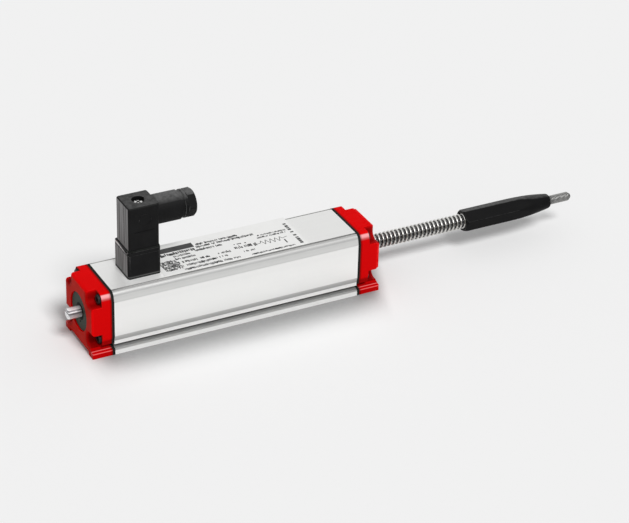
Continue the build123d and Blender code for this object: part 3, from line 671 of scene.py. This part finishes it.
def softened(node, width, segments=2):
    """A merged copy of a node's mesh, without the lines inside its flat faces, with its edges rounded."""
    mesh = nodes[node].data.copy()
    mesh.materials.clear()
    work = bmesh.new()
    work.from_mesh(mesh)
    bmesh.ops.remove_doubles(work, verts=work.verts, dist=1e-6)
    bmesh.ops.dissolve_limit(work, angle_limit=math.radians(0.5), verts=work.verts, edges=work.edges)
    work.to_mesh(mesh)
    work.free()
    piece = new_piece(node + "_shell", mesh)
    rounding = piece.modifiers.new("edge", "BEVEL")
    rounding.width = width * MM
    rounding.segments = segments
    rounding.limit_method = "ANGLE"
    rounding.angle_limit = math.radians(34.0)
    rounding.use_clamp_overlap = True
    rounding.miter_outer = "MITER_ARC"
    return evaluated(piece)


def box_mesh(name, low, high):
    """A plain block, for cuts and small inlays."""
    corners = [(x, y, z) for x in (low[0], high[0]) for y in (low[1], high[1]) for z in (low[2], high[2])]
    faces = [(0, 1, 3, 2), (4, 6, 7, 5), (0, 4, 5, 1), (2, 3, 7, 6), (0, 2, 6, 4), (1, 5, 7, 3)]
    return mesh_from(name, corners, faces)


def box_cutter(name, low, high):
    return cutter(name, box_mesh(name, low, high))


def rounded_profile(points, radius, steps=4):
    """Rounds the inner corners of an open line of (along, radius) points."""
    made = [points[0]]
    for before, corner, after in zip(points, points[1:], points[2:]):
        back = Vector(before) - Vector(corner)
        ahead = Vector(after) - Vector(corner)
        room = min(radius, back.length * 0.45, ahead.length * 0.45)
        start = Vector(corner) + back.normalized() * room
        end = Vector(corner) + ahead.normalized() * room
        for step in range(steps + 1):
            share = step / steps
            toward = start.lerp(Vector(corner), share)
            made.append(tuple(toward.lerp(Vector(corner).lerp(end, share), share)))
    made.append(points[-1])
    return made


def turned_mesh(name, profile, centre, axis="X", segments=64, closed=False):
    """Turns a line of (along, radius) points about an axis through the centre."""
    points = []
    rings = []
    for along, radius in profile:
        if radius < 1e-6:
            rings.append([len(points)])
            points.append((along, 0.0, 0.0))
            continue
        rings.append([len(points) + i for i in range(segments)])
        for i in range(segments):
            angle = 2 * math.pi * i / segments
            points.append((along, radius * math.cos(angle), radius * math.sin(angle)))
    if axis == "Z":
        points = [(y, z, x) for x, y, z in points]
    points = [(x + centre[0], y + centre[1], z + centre[2]) for x, y, z in points]
    faces = []
    pairs = list(zip(rings, rings[1:] + ([rings[0]] if closed else [])))
    for first, second in pairs[: len(rings) if closed else len(rings) - 1]:
        for i in range(segments):
            j = (i + 1) % segments
            loop = [first[i % len(first)], first[j % len(first)]]
            loop += [second[j % len(second)], second[i % len(second)]]
            loop = list(dict.fromkeys(loop))
            if len(loop) > 2:
                faces.append(loop)
    return faces_outward(mesh_from(name, points, faces))


def rod_mesh(name, stations, around, radius_at):
    """A closed form round the rod's axis, from a rule for its radius at a place and an angle."""
    points = []
    for x in stations:
        for i in range(around):
            angle = 2 * math.pi * i / around
            radius = radius_at(x, angle)
            points.append((x, radius * math.cos(angle), ROD_HEIGHT + radius * math.sin(angle)))
    faces = []
    for row in range(0, (len(stations) - 1) * around, around):
        for i in range(around):
            j = (i + 1) % around
            faces.append((row + i, row + j, row + around + j, row + around + i))
    faces.append(tuple(range(around)))
    faces.append(tuple(range(len(points) - around, len(points))))
    return faces_outward(mesh_from(name, points, faces))


# Shapes that repeat or follow a rule, made by Geometry Nodes


def grow(name, tree, finish, seed=None, **sizes):
    """Runs a shape tree with the given sizes and keeps the result as a plain mesh."""
    piece = new_piece(name, seed or bpy.data.meshes.new(name))
    modifier = piece.modifiers.new("grow", "NODES")
    modifier.node_group = tree
    wanted = {key.replace("_", " "): value for key, value in sizes.items()}
    for socket in tree.interface.items_tree:
        if socket.in_out == "INPUT" and socket.name in wanted:
            modifier[socket.identifier] = wanted.pop(socket.name)
        if socket.in_out == "INPUT" and socket.name == "Finish":
            modifier[socket.identifier] = FINISHES[finish]
    if wanted:
        raise ValueError(f"{tree.name} has no size named {sorted(wanted)}")
    return evaluated(piece)


def shape_tree(name, sizes, **shapes):
    """A geometry group that takes shapes to repeat, sizes in metres and a finish."""
    inputs = {**shapes, **sizes, "Finish": "NodeSocketMaterial"}
    return new_tree("GeometryNodeTree", name, inputs, {"Geometry": "NodeSocketGeometry"})


def close_tree(tree, shape, finish, out):
    """Ends a shape tree: instances are made real and get the finish."""
    real = put(tree, "GeometryNodeRealizeInstances", {"Geometry": shape})
    painted = put(tree, "GeometryNodeSetMaterial", {"Geometry": real.outputs[0], "Material": finish})
    tree.links.new(painted.outputs[0], out.inputs["Geometry"])
    return tree


def coil_tree():
    """Round wire wound round the rod: one closed turn at each end and open turns between."""
    sizes = {
        "Seat": 0.0,
        "Axis Height": 0.0,
        "Coil Radius": 0.0036,
        "Wire Radius": 0.0005,
        "Open Turns": 30.0,
        "Open Pitch": 0.002,
        "Closed Pitch": 0.001,
        "Points": 900,
    }
    tree, given, out = shape_tree("coil_spring", sizes)
    line = put(tree, "GeometryNodeCurvePrimitiveLine", {"End": (0.0, 0.0, 1.0)})
    points = put(tree, "GeometryNodeResampleCurve", {"Curve": line.outputs[0], "Count": given["Points"]})
    share = put(tree, "GeometryNodeSplineParameter").outputs["Factor"]
    turns = math_node(tree, "ADD", given["Open Turns"], 2.0)
    turn = math_node(tree, "MULTIPLY", share, turns)
    angle = math_node(tree, "MULTIPLY", turn, 2 * math.pi)
    past_first = math_node(tree, "SUBTRACT", turn, 1.0)
    opened = math_node(tree, "MINIMUM", math_node(tree, "MAXIMUM", past_first, 0.0), given["Open Turns"])
    open_part = math_node(tree, "MULTIPLY", opened, given["Open Pitch"])
    closed = math_node(tree, "SUBTRACT", turn, opened)
    closed_part = math_node(tree, "MULTIPLY", closed, given["Closed Pitch"])
    climbed = math_node(tree, "ADD", math_node(tree, "ADD", open_part, closed_part), given["Wire Radius"])
    aside = math_node(tree, "MULTIPLY", math_node(tree, "SINE", angle), given["Coil Radius"])
    rise = math_node(tree, "MULTIPLY", math_node(tree, "COSINE", angle), given["Coil Radius"])
    along = math_node(tree, "ADD", given["Seat"], climbed)
    place = vector(tree, along, aside, math_node(tree, "ADD", rise, given["Axis Height"]))
    coil = put(tree, "GeometryNodeSetPosition", {"Geometry": points.outputs[0], "Position": place})
    wire = put(tree, "GeometryNodeCurvePrimitiveCircle", {"Resolution": 12, "Radius": given["Wire Radius"]})
    swept = {"Curve": coil.outputs[0], "Profile Curve": wire.outputs[0], "Fill Caps": True}
    solid = put(tree, "GeometryNodeCurveToMesh", swept)
    return close_tree(tree, solid.outputs[0], given["Finish"], out)


def corner_screws_tree():
    """Sets a screw, given along +X from the origin, at the four corners of both ends."""
    sizes = {"Spread": 0.027, "Low": 0.009, "High": 0.032, "Face": 0.075}
    tree, given, out = shape_tree("corner_screws", sizes, Geometry="NodeSocketGeometry")
    rise = math_node(tree, "SUBTRACT", given["High"], given["Low"])
    middle = math_node(tree, "MULTIPLY", math_node(tree, "ADD", given["High"], given["Low"]), 0.5)
    grid = {"Size X": rise, "Size Y": given["Spread"], "Vertices X": 2, "Vertices Y": 2}
    corners = put(tree, "GeometryNodeMeshGrid", grid)
    upright = {
        "Geometry": corners.outputs[0],
        "Translation": vector(tree, given["Face"], 0.0, middle),
        "Rotation": (0.0, math.pi / 2, 0.0),
    }
    points = put(tree, "GeometryNodeTransform", upright).outputs[0]
    screws = put(tree, "GeometryNodeInstanceOnPoints", {"Points": points, "Instance": given["Geometry"]})
    both_ends = put(tree, "GeometryNodeJoinGeometry")
    for turn in (0.0, math.pi):
        swing = {"Geometry": screws.outputs[0], "Rotation": (0.0, 0.0, turn)}
        swung = put(tree, "GeometryNodeTransform", swing)
        tree.links.new(swung.outputs[0], both_ends.inputs[0])
    return close_tree(tree, both_ends.outputs[0], given["Finish"], out)


def print_row_tree():
    """A row of printed dashes of uneven length, height and place on a flat film, with some left out."""
    sizes = {
        "Start X": 0.0,
        "Start Y": 0.0,
        "End X": 0.0,
        "End Y": 0.0,
        "Surface": 0.0,
        "Dashes": 8,
        "Dash Length": 0.0006,
        "Dash Height": 0.0008,
        "Ink": 0.00002,
        "Filled": 0.85,
        "Seed": 1,
    }
    tree, given, out = shape_tree("print_row", sizes)

    def uneven(low, high, offset):
        limits = {2: low, 3: high, "Seed": math_node(tree, "ADD", given["Seed"], offset)}
        return put(tree, "FunctionNodeRandomValue", limits, data_type="FLOAT").outputs[1]

    middle = math_node(tree, "ADD", given["Surface"], math_node(tree, "MULTIPLY", given["Ink"], 0.5))
    line = put(tree, "GeometryNodeMeshLine", {"Count": given["Dashes"]}, mode="END_POINTS")
    tree.links.new(vector(tree, given["Start X"], given["Start Y"], middle), line.inputs["Start Location"])
    tree.links.new(vector(tree, given["End X"], given["End Y"], middle), line.inputs["Offset"])
    aside = math_node(tree, "MULTIPLY", given["Dash Height"], uneven(-0.18, 0.18, 40.0))
    shift = {"Geometry": line.outputs[0], "Offset": vector(tree, 0.0, aside)}
    moved = put(tree, "GeometryNodeSetPosition", shift)
    length = math_node(tree, "MULTIPLY", given["Dash Length"], uneven(0.55, 1.3, 0.0))
    height = math_node(tree, "MULTIPLY", given["Dash Height"], uneven(0.6, 1.15, 20.0))
    chance = {"A": uneven(0.0, 1.0, 60.0), "B": given["Filled"]}
    kept = put(tree, "FunctionNodeCompare", chance, data_type="FLOAT", operation="LESS_THAN")
    block = put(tree, "GeometryNodeMeshCube", {"Size": (1.0, 1.0, 1.0)})
    printed = {
        "Points": moved.outputs[0],
        "Instance": block.outputs[0],
        "Scale": vector(tree, length, height, given["Ink"]),
        "Selection": kept.outputs[0],
    }
    dashes = put(tree, "GeometryNodeInstanceOnPoints", printed)
    return close_tree(tree, dashes.outputs[0], given["Finish"], out)


# Housing: extrusion, caps, gaskets and screws


def shifted(piece, where, by):
    """Moves the points of a shell that a rule picks, by a share of a distance in millimetres."""
    for vertex in piece.data.vertices:
        vertex.co += Vector(by) * MM * where(*(vertex.co / MM))
    return piece


def on_groove_lip(x, y, z):
    """1 on the lips over the clamping grooves, easing to 0 above and below them."""
    groove_floor, foot, top, fade = 15.5, 5.0, 10.0, 1.3
    return max(0.0, min(z - foot, (top - z) / fade, 1.0)) if abs(y) > groove_floor else 0.0


def on_front_face(x, y, z):
    """1 on the outer face of the front cap."""
    return 1.0 if x > 80.2 else 0.0


def housing():
    shell = shifted(softened("housing_profile", 0.18), on_groove_lip, (0.0, 0.0, -LIP_DROP))
    finished(shell, "aluminium_profile", "housing", "housing_profile")
    for end in ("front", "rear"):
        cap = shifted(softened(f"{end}_cap", 0.35, 3), on_front_face, (CAP_REACH, 0.0, 0.0))
        finished(cap, "red_cap", "housing", f"{end}_cap", angle=40)
        finished(softened(f"{end}_bush", 0.25), "bush_plastic", "housing", f"{end}_bush")


def cap_screw_mesh():
    """One socket screw along +X, with the face of its head past the origin."""
    face, neck, tip = SCREW_RISE, -3.0, -17.8
    head, shank = CAP_SCREW_HEAD, 1.5
    outline = [(face, 0.0), (face, head), (neck, head), (neck, shank), (tip, shank), (tip, 0.0)]
    turned = turned_mesh("cap_screw", rounded_profile(outline, 0.35), (0, 0, 0), segments=40)
    screw = new_piece("cap_screw", turned)
    socket, floor_at = 1.45, face - 1.6
    outline = [(floor_at, 0.0), (floor_at, socket), (face + 1.0, socket), (face + 1.0, 0.0)]
    carve(screw, cutter("socket", turned_mesh("socket", outline, (0, 0, 0), segments=6)))
    mesh = screw.data
    bpy.data.objects.remove(screw)
    return mesh


def cap_screws():
    low, high = node_box("cap_screws")
    screws = grow(
        "cap_socket_screws",
        corner_screws_tree(),
        "black_screw",
        seed=cap_screw_mesh(),
        Spread=(high.y - low.y - 2 * CAP_SCREW_HEAD) * MM,
        Low=(low.z + CAP_SCREW_HEAD) * MM,
        High=(high.z - CAP_SCREW_HEAD) * MM,
        Face=high.x * MM,
    )
    finished(screws, "black_screw", "housing", "cap_screws")


# Connector: block, plug, screw and gland


def rim_grooves(low, high):
    """Cutters for a shallow groove round the block, a little below its top."""
    width, depth, past = 0.45, 0.25, 1.0
    top = high.z - 1.5
    sides = [
        (low.x - past, low.y - past, low.x + depth, high.y + past),
        (high.x - depth, low.y - past, high.x + past, high.y + past),
        (low.x - past, low.y - past, high.x + past, low.y + depth),
        (low.x - past, high.y - depth, high.x + past, high.y + past),
    ]
    for index, (x0, y0, x1, y1) in enumerate(sides):
        yield box_cutter(f"rim_groove_{index}", (x0, y0, top - width), (x1, y1, top))


def connector():
    block = carve(softened("connector_block", 0.3, 3), *rim_grooves(*node_box("connector_block")))
    finished(block, "connector_plastic", "housing", "connector_block")
    finished(softened("plug_gasket", 0.2), "black_rubber", "housing", "plug_gasket")
    low = node_box("plug_housing")[0]
    near, rear = low.y, low.x - HOOD_REACH
    rear_wall = low.x + 1.6
    hood = softened("plug_housing", 0.45, 3)
    shifted(hood, lambda x, y, z: 1.0 if x < rear_wall else 0.0, (-HOOD_REACH, 0.0, 0.0))
    seam_rear, seam_front, seam_foot, seam_top = -53.2, -42.2, 60.9, 61.4
    tools = [box_cutter("seam", (seam_rear, near - 1.0, seam_foot), (seam_front, near + 0.5, seam_top))]
    gap_foot, gap_top = 53.0, 73.2
    for name, y0, y1 in (("rib_gap_far", 3.7, 4.1), ("rib_gap_near", -2.3, -1.9)):
        tools.append(box_cutter(name, (rear - 1.0, y0, gap_foot), (rear + 0.25, y1, gap_top)))
    ring = [(-0.12, 3.15), (0.12, 3.15), (0.12, 3.45), (-0.12, 3.45)]
    mark = turned_mesh("round_mark", ring, (0, 0, 0), segments=40, closed=True)
    place = (-47.4 * MM, near * MM, 67.5 * MM)
    mark.transform(Matrix.Translation(place) @ Matrix.Rotation(math.pi / 2, 4, "Z"))
    tools.append(cutter("round_mark", mark))
    finished(carve(hood, *tools), "connector_plastic", "housing", "plug_housing", edge_rub_and_highlight=0.4)
    finished(softened("gland_nut", 0.3, 3), "connector_plastic", "housing", "gland_nut", edge_rub_and_highlight=0.25)


def plug_screw():
    """A cheese-head screw with a cross recess."""
    low, high = node_box("plug_screw")
    x, y = (low.x + high.x) / 2, (low.y + high.y) / 2
    top, under_head = PLUG_SCREW_FACE, high.z - 1.6
    shank, head, face = 1.5, 2.8, 2.1
    outline = [(low.z, 0.0), (low.z, shank), (under_head, shank), (under_head, head)]
    outline += [(top - 0.35, head), (top, face), (top, 0.0)]
    turned = turned_mesh("plug_cross_screw", rounded_profile(outline, 0.2), (x, y, 0), axis="Z", segments=48)
    screw = new_piece("plug_cross_screw", turned)
    long_side, short_side = 1.7, 0.35
    bars = []
    for name, half_x, half_y in (("slot", long_side, short_side), ("cross", short_side, long_side)):
        low_corner, high_corner = (x - half_x, y - half_y, top - 0.5), (x + half_x, y + half_y, top + 1.0)
        bars.append(box_cutter(name, low_corner, high_corner))
    carve(screw, *bars)
    centre = Vector((x, y, 0)) * MM
    turn = Matrix.Rotation(math.radians(25), 4, "Z")
    screw.data.transform(Matrix.Translation(centre) @ turn @ Matrix.Translation(-centre))
    finished(screw, "plug_screw_steel", "housing", "plug_screw", slot="bright_steel")


# Label film with plain printed fields, none of which says anything


def label():
    low, high = node_box("label_film")
    widening = (0.0, LABEL_FAR_EDGE - high.y, 0.0)
    film = shifted(softened("label_film", 0.02, 1), lambda x, y, z: 1.0 if y > 10.0 else 0.0, widening)
    finished(film, "label_paper", "housing", "label_film")
    marks = printed_rows(high.z) + printed_blocks(low.x, high.z) + printed_zigzag(high.z)
    finished(joined("label_marks", marks), "label_ink", "housing")


def printed_rows(top):
    """Rows of uneven dashes."""
    # Each row: start X and Y, end X and Y, height, pitch of its dashes, share that is filled
    rows = [
        (-36.5, 5.7, -14.8, 5.7, 2.7, 1.15, 1.0),
        (-11.8, 9.3, 11.0, 9.3, 1.7, 0.72, 0.9),
        (-12.6, 6.9, 19.2, 6.9, 1.8, 0.72, 0.9),
        (-14.6, 3.9, 0.0, 3.9, 1.8, 0.72, 0.88),
        (-27.0, 2.6, -18.5, 2.6, 1.7, 0.72, 0.94),
        (-27.1, -0.2, -16.8, -0.2, 1.6, 0.72, 0.9),
        (-27.2, -4.0, -10.6, -4.0, 1.8, 0.74, 0.86),
        (-27.2, -7.6, -8.5, -7.6, 1.9, 0.74, 0.9),
        (-26.9, -11.1, -6.6, -11.1, 1.8, 0.74, 0.88),
        (-5.0, -3.8, 1.3, -3.8, 1.6, 0.72, 0.94),
        (-9.8, -7.0, -1.9, -7.0, 1.6, 0.72, 0.8),
        (-5.0, -11.1, 3.5, -11.1, 1.7, 0.72, 0.94),
        (19.8, 2.3, 35.5, 2.3, 1.4, 0.62, 0.9),
        (20.8, 4.4, 36.5, 4.4, 1.3, 0.62, 0.86),
        (7.8, -7.4, 13.6, -7.4, 1.7, 0.66, 0.96),
        (10.4, -11.6, 34.4, -11.6, 1.3, 0.66, 0.94),
        (5.0, -2.2, 16.5, -3.0, 2.6, 0.85, 0.6),
        (6.0, 1.0, 12.0, 0.6, 1.0, 0.8, 0.6),
    ]
    # A chequered square of rows, each a little further right than the one above
    for i in range(8):
        y = -0.8 - 1.18 * i
        rows.append((-36.8 + 0.1 * i, y, -28.2 + 0.1 * i, y, 1.45, 0.62, 0.93))
    tree = print_row_tree()
    made = []
    for index, (x0, y0, x1, y1, height, pitch, filled) in enumerate(rows):
        row = grow(
            f"row_{index}",
            tree,
            "label_ink",
            Start_X=x0 * MM,
            Start_Y=y0 * MM,
            End_X=x1 * MM,
            End_Y=y1 * MM,
            Surface=top * MM,
            Dashes=int((x1 - x0) / pitch) + 1,
            Dash_Length=0.86 * pitch * MM,
            Dash_Height=height * MM,
            Ink=INK * MM,
            Filled=filled,
            Seed=3 + 7 * index,
        )
        made.append(row)
    return made


def printed_blocks(left, top):
    """A wide bar from the film's left edge, a short one and a divider of uneven dashes."""
    blocks = [(left, 7.7, -13.4, 12.2), (31.6, -8.2, 32.3, -4.4)]
    divider = [(-11.6, 1.5), (-9.7, 1.2), (-8.2, 1.9), (-5.8, 1.0), (-3.4, 1.3)]
    divider += [(0.2, 1.1), (2.9, 1.6), (5.0, 0.9), (6.4, 1.7), (9.0, 1.2)]
    blocks += [(37.9, y, 39.7, y + length) for y, length in divider]
    made = []
    for index, (x0, y0, x1, y1) in enumerate(blocks):
        name = f"field_{index}"
        made.append(new_piece(name, box_mesh(name, (x0, y0, top), (x1, y1, top + INK))))
    return made


def printed_zigzag(top):
    """A zigzag line between two short straight ends."""
    corners = [(17.0, -3.2), (19.0, -3.2)]
    corners += [(19.8 + 1.35 * i, -3.0 + (2.0 if i % 2 == 0 else -2.0)) for i in range(9)]
    corners += [(31.6, -3.0), (34.5, -2.0)]
    made = []
    for index, (start, end) in enumerate(zip(corners, corners[1:])):
        name = f"stroke_{index}"
        made.append(new_piece(name, stroke_mesh(name, start, end, top, 0.34)))
    return made


def stroke_mesh(name, start, end, surface, width):
    """A thin straight line of ink between two places on the film."""
    along = Vector(end) - Vector(start)
    aside = Vector((-along.y, along.x)).normalized() * width / 2
    start, end = Vector(start), Vector(end)
    outline = [start - aside, end - aside, end + aside, start + aside]
    points = [(corner.x, corner.y, z) for z in (surface, surface + INK) for corner in outline]
    faces = [(3, 2, 1, 0), (4, 5, 6, 7)] + [(i, (i + 1) % 4, 4 + (i + 1) % 4, 4 + i) for i in range(4)]
    return mesh_from(name, points, faces)


def joined(name, parts):
    """Several pieces as one mesh."""
    work = bmesh.new()
    for part in parts:
        work.from_mesh(part.data)
        bpy.data.objects.remove(part)
    mesh = bpy.data.meshes.new(name)
    work.to_mesh(mesh)
    work.free()
    return new_piece(name, mesh)


# Rod, spring, holder and stud


def guide_rod():
    low, high = node_box("guide_rod")
    rings_low, rings_high = node_box("retaining_rings")
    bevel, groove = 0.5, 2.0
    outline = [(low.x, 0.0), (low.x, ROD_RADIUS - bevel), (low.x + bevel, ROD_RADIUS)]
    for start in (rings_low.x, rings_high.x - RING_WIDTH):
        face = start + RING_WIDTH
        outline += [(start, ROD_RADIUS), (start, groove), (face, groove), (face, ROD_RADIUS)]
    outline += [(high.x, ROD_RADIUS), (high.x, 0.0)]
    rod = new_piece("polished_rod", turned_mesh("polished_rod", outline, (0, 0, ROD_HEIGHT), segments=72))
    finished(rod, "rod_steel", "rod", "guide_rod")


def return_spring():
    low = node_box("return_spring")[0]
    length = 92.0
    wire = 1.0
    open_turns = 37.5
    closed_pitch = 1.08
    open_pitch = (length - wire - 2 * closed_pitch) / open_turns
    spring = grow(
        "coil_spring",
        coil_tree(),
        "spring_steel",
        Seat=low.x * MM,
        Axis_Height=ROD_HEIGHT * MM,
        Coil_Radius=3.65 * MM,
        Wire_Radius=wire / 2 * MM,
        Open_Turns=open_turns,
        Open_Pitch=open_pitch * MM,
        Closed_Pitch=closed_pitch * MM,
        Points=950,
    )
    finished(spring, "spring_steel", "housing", "return_spring", angle=60)
    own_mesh(spring)


def blunt_least(first, second, radius):
    """The lesser of two lengths, eased where they meet."""
    gap = max(radius - abs(first - second), 0.0) / radius
    return min(first, second) - gap * gap * radius / 4


def tip_holder():
    """A hexagonal grip whose corners run out into a slender rounded nose."""
    low, high = node_box("tip_holder")
    rear, front = low.x - HOLDER_REACH, high.x
    grip, flats, turn = 29.0, 11.0, math.radians(13.0)
    rim, rim_length, body = 5.6, 1.1, 6.35
    slope, drop = 0.18, 2.4

    def turned_radius(x):
        if x < rear + rim_length:
            return rim + (body - rim) * (x - rear) / rim_length
        if x < rear + grip:
            return body
        share = (x - rear - grip) / (front - rear - grip)
        return body - slope * drop * share - (drop - slope * drop) * share ** 1.9

    def hexagon_radius(angle):
        facet = (angle - turn + math.pi / 6) % (math.pi / 3) - math.pi / 6
        return flats / 2 / math.cos(facet)

    def radius_at(x, angle):
        end_ease = max(0.0, 0.3 - (front - x))
        return blunt_least(hexagon_radius(angle), turned_radius(x), 0.35) - end_ease * 0.7

    # Stations are closest along the rim, and widest apart on the straight grip
    stations = [rear + 0.1 * i for i in range(14)]
    stations += [rear + 1.4 + 0.9 * i for i in range(30)]
    stations += [rear + 28.6 + 0.5 * i for i in range(50)]
    stations += [front - 0.15, front]
    holder = new_piece("hex_holder", rod_mesh("hex_holder", stations, 144, radius_at))
    mouth, seat, end = rear - 1.0, rear + 3.25, rear + 14.0
    spring_bore, bore = 4.35, 3.0
    recess = [(mouth, 0.0), (mouth, spring_bore), (seat, spring_bore), (seat, bore), (end, bore), (end, 0.0)]
    carve(holder, cutter("recess", turned_mesh("recess", recess, (0, 0, ROD_HEIGHT))))
    finished(holder, "holder_plastic", "rod", "tip_holder", angle=38)


def tip_stud():
    """The threaded tip: a helical thread with a chamfered point."""
    low, high = node_box("tip_stud")
    length, root, crest, pitch = 14.2, 1.95, 2.5, 0.8
    tip = high.x + STUD_REACH
    start = tip - length
    steps_per_pitch = 10

    def radius_at(x, angle):
        phase = ((x - start) / pitch - angle / (2 * math.pi)) % 1.0
        height = min(max(1.6 * (1 - abs(2 * phase - 1)) - 0.25, 0.0), 1.0)
        return min(root + (crest - root) * height, crest - 1.3 + 0.75 * (tip - x))

    count = int(length / pitch * steps_per_pitch)
    stations = [start + length * row / count for row in range(count + 1)]
    thread = rod_mesh("thread", stations, 48, radius_at)
    neck, end = 2.1, start + 0.05
    outline = [(low.x, 0.0), (low.x, neck), (end, neck), (end, 0.0)]
    shank = turned_mesh("shank", outline, (0, 0, ROD_HEIGHT), segments=32)
    stud = joined("threaded_stud", [new_piece("thread", thread), new_piece("shank", shank)])
    finished(stud, "plated_thread", "rod", "tip_stud", angle=70, slot="bright_steel")


def carried_over():
    """Gives every node that is shown as it is its own finish."""
    for node in nodes.values():
        materials = node.data.materials
        for index, material in enumerate(list(materials)):
            materials[index] = FINISHES[plain_name(material)]


# Floor, light and camera


def floor():
    """Plain paper with a painted shadow: its colour darkens near the housing, where less light gets to it,
    and clears past both caps.
    """
    edge = 6000
    corners = [(-edge, -edge, 0), (edge, -edge, 0), (edge, edge, 0), (-edge, edge, 0)]
    mesh = mesh_from("floor", corners, [(0, 1, 2, 3)])
    paper = bpy.data.materials.new("pale_floor")
    paper.use_nodes = True
    tree = paper.node_tree
    shader = tree.nodes["Principled BSDF"]
    smooth = {"interpolation_type": "SMOOTHSTEP"}
    painted_shadow_reach = 34
    # An occlusion test near the housing darkens the floor's colour: a painted shadow
    near = put(tree, "ShaderNodeAmbientOcclusion", {"Distance": painted_shadow_reach * MM}, samples=12)
    clear = ramp(tree, near.outputs["AO"], 0.58, 0.97, **smooth)
    coordinates = put(tree, "ShaderNodeTexCoord").outputs["Object"]
    place = put(tree, "ShaderNodeSeparateXYZ", {0: coordinates}).outputs
    slanted = math_node(tree, "ADD", place["X"], math_node(tree, "MULTIPLY", place["Y"], -0.4))
    # The painted shadow fades out at the front cap, along a slanted line, and at the rear cap
    for along, start, full in ((slanted, 83, 95), (place["X"], -67, -88)):
        past_cap = ramp(tree, along, start * MM, full * MM, **smooth)
        clear = math_node(tree, "MAXIMUM", clear, past_cap)
    # The painted shadow's dark grey and the floor's pale grey
    dark, pale = (*grey(0.27), 1.0), (*grey(0.86), 1.0)
    tone = put(tree, "ShaderNodeMix", {"Factor": clear, "A": dark, "B": pale}, data_type="RGBA")
    tree.links.new(tone.outputs["Result"], shader.inputs["Base Color"])
    shader.inputs["Roughness"].default_value = 1.0
    shader.inputs["Specular IOR Level"].default_value = 0.0
    mesh.materials.append(paper)
    new_piece("floor", mesh)


def studio_light():
    """Soft light from all round, a pale ground for the camera and for reflections, and one soft lamp."""
    world = bpy.data.worlds.new("studio")
    scene.world = world
    world.use_nodes = True
    tree = world.node_tree
    tree.nodes.clear()
    path = put(tree, "ShaderNodeLightPath").outputs
    seen = math_node(tree, "MAXIMUM", path["Is Camera Ray"], path["Is Glossy Ray"])
    seen = math_node(tree, "MAXIMUM", seen, path["Is Transmission Ray"])
    soft = put(tree, "ShaderNodeBackground", {"Color": (1.0, 1.0, 1.0, 1.0), "Strength": 0.46})
    white = put(tree, "ShaderNodeBackground", {"Color": (0.87, 0.87, 0.87, 1.0), "Strength": 1.0})
    mix = put(tree, "ShaderNodeMixShader", {0: seen, 1: soft.outputs[0], 2: white.outputs[0]})
    out = put(tree, "ShaderNodeOutputWorld")
    tree.links.new(mix.outputs[0], out.inputs["Surface"])
    toward = Vector((0.02, -0.62, 0.785))
    lamp = bpy.data.lights.new("soft_lamp", "SUN")
    lamp.energy = 2.25
    lamp.angle = math.radians(20.0)
    placed = bpy.data.objects.new("soft_lamp", lamp)
    placed.location = toward
    placed.rotation_euler = toward.to_track_quat("Z", "Y").to_euler()
    scene.collection.objects.link(placed)


def camera():
    """The photograph's view, fitted to the straight edges of the housing. Its place is in metres."""
    lens = bpy.data.cameras.new("camera")
    lens.sensor_width = 36.0
    lens.lens = 141.494
    lens.clip_start = 0.01
    lens.clip_end = 50.0
    right = Vector((0.89024, -0.45481, 0.02498))
    up = Vector((0.21109, 0.46053, 0.86218))
    back = Vector((-0.40363, -0.76228, 0.50598))
    place = Vector((-0.47017, -0.98659, 0.66989))
    turn = Matrix((right, up, back)).transposed().to_4x4()
    placed = bpy.data.objects.new("camera", lens)
    placed.matrix_world = Matrix.Translation(place) @ turn
    scene.collection.objects.link(placed)
    scene.camera = placed


carried_over()
housing()
cap_screws()
connector()
plug_screw()
label()
guide_rod()
return_spring()
tip_holder()
tip_stud()
floor()
studio_light()
camera()
scene.view_settings.view_transform = "Standard"
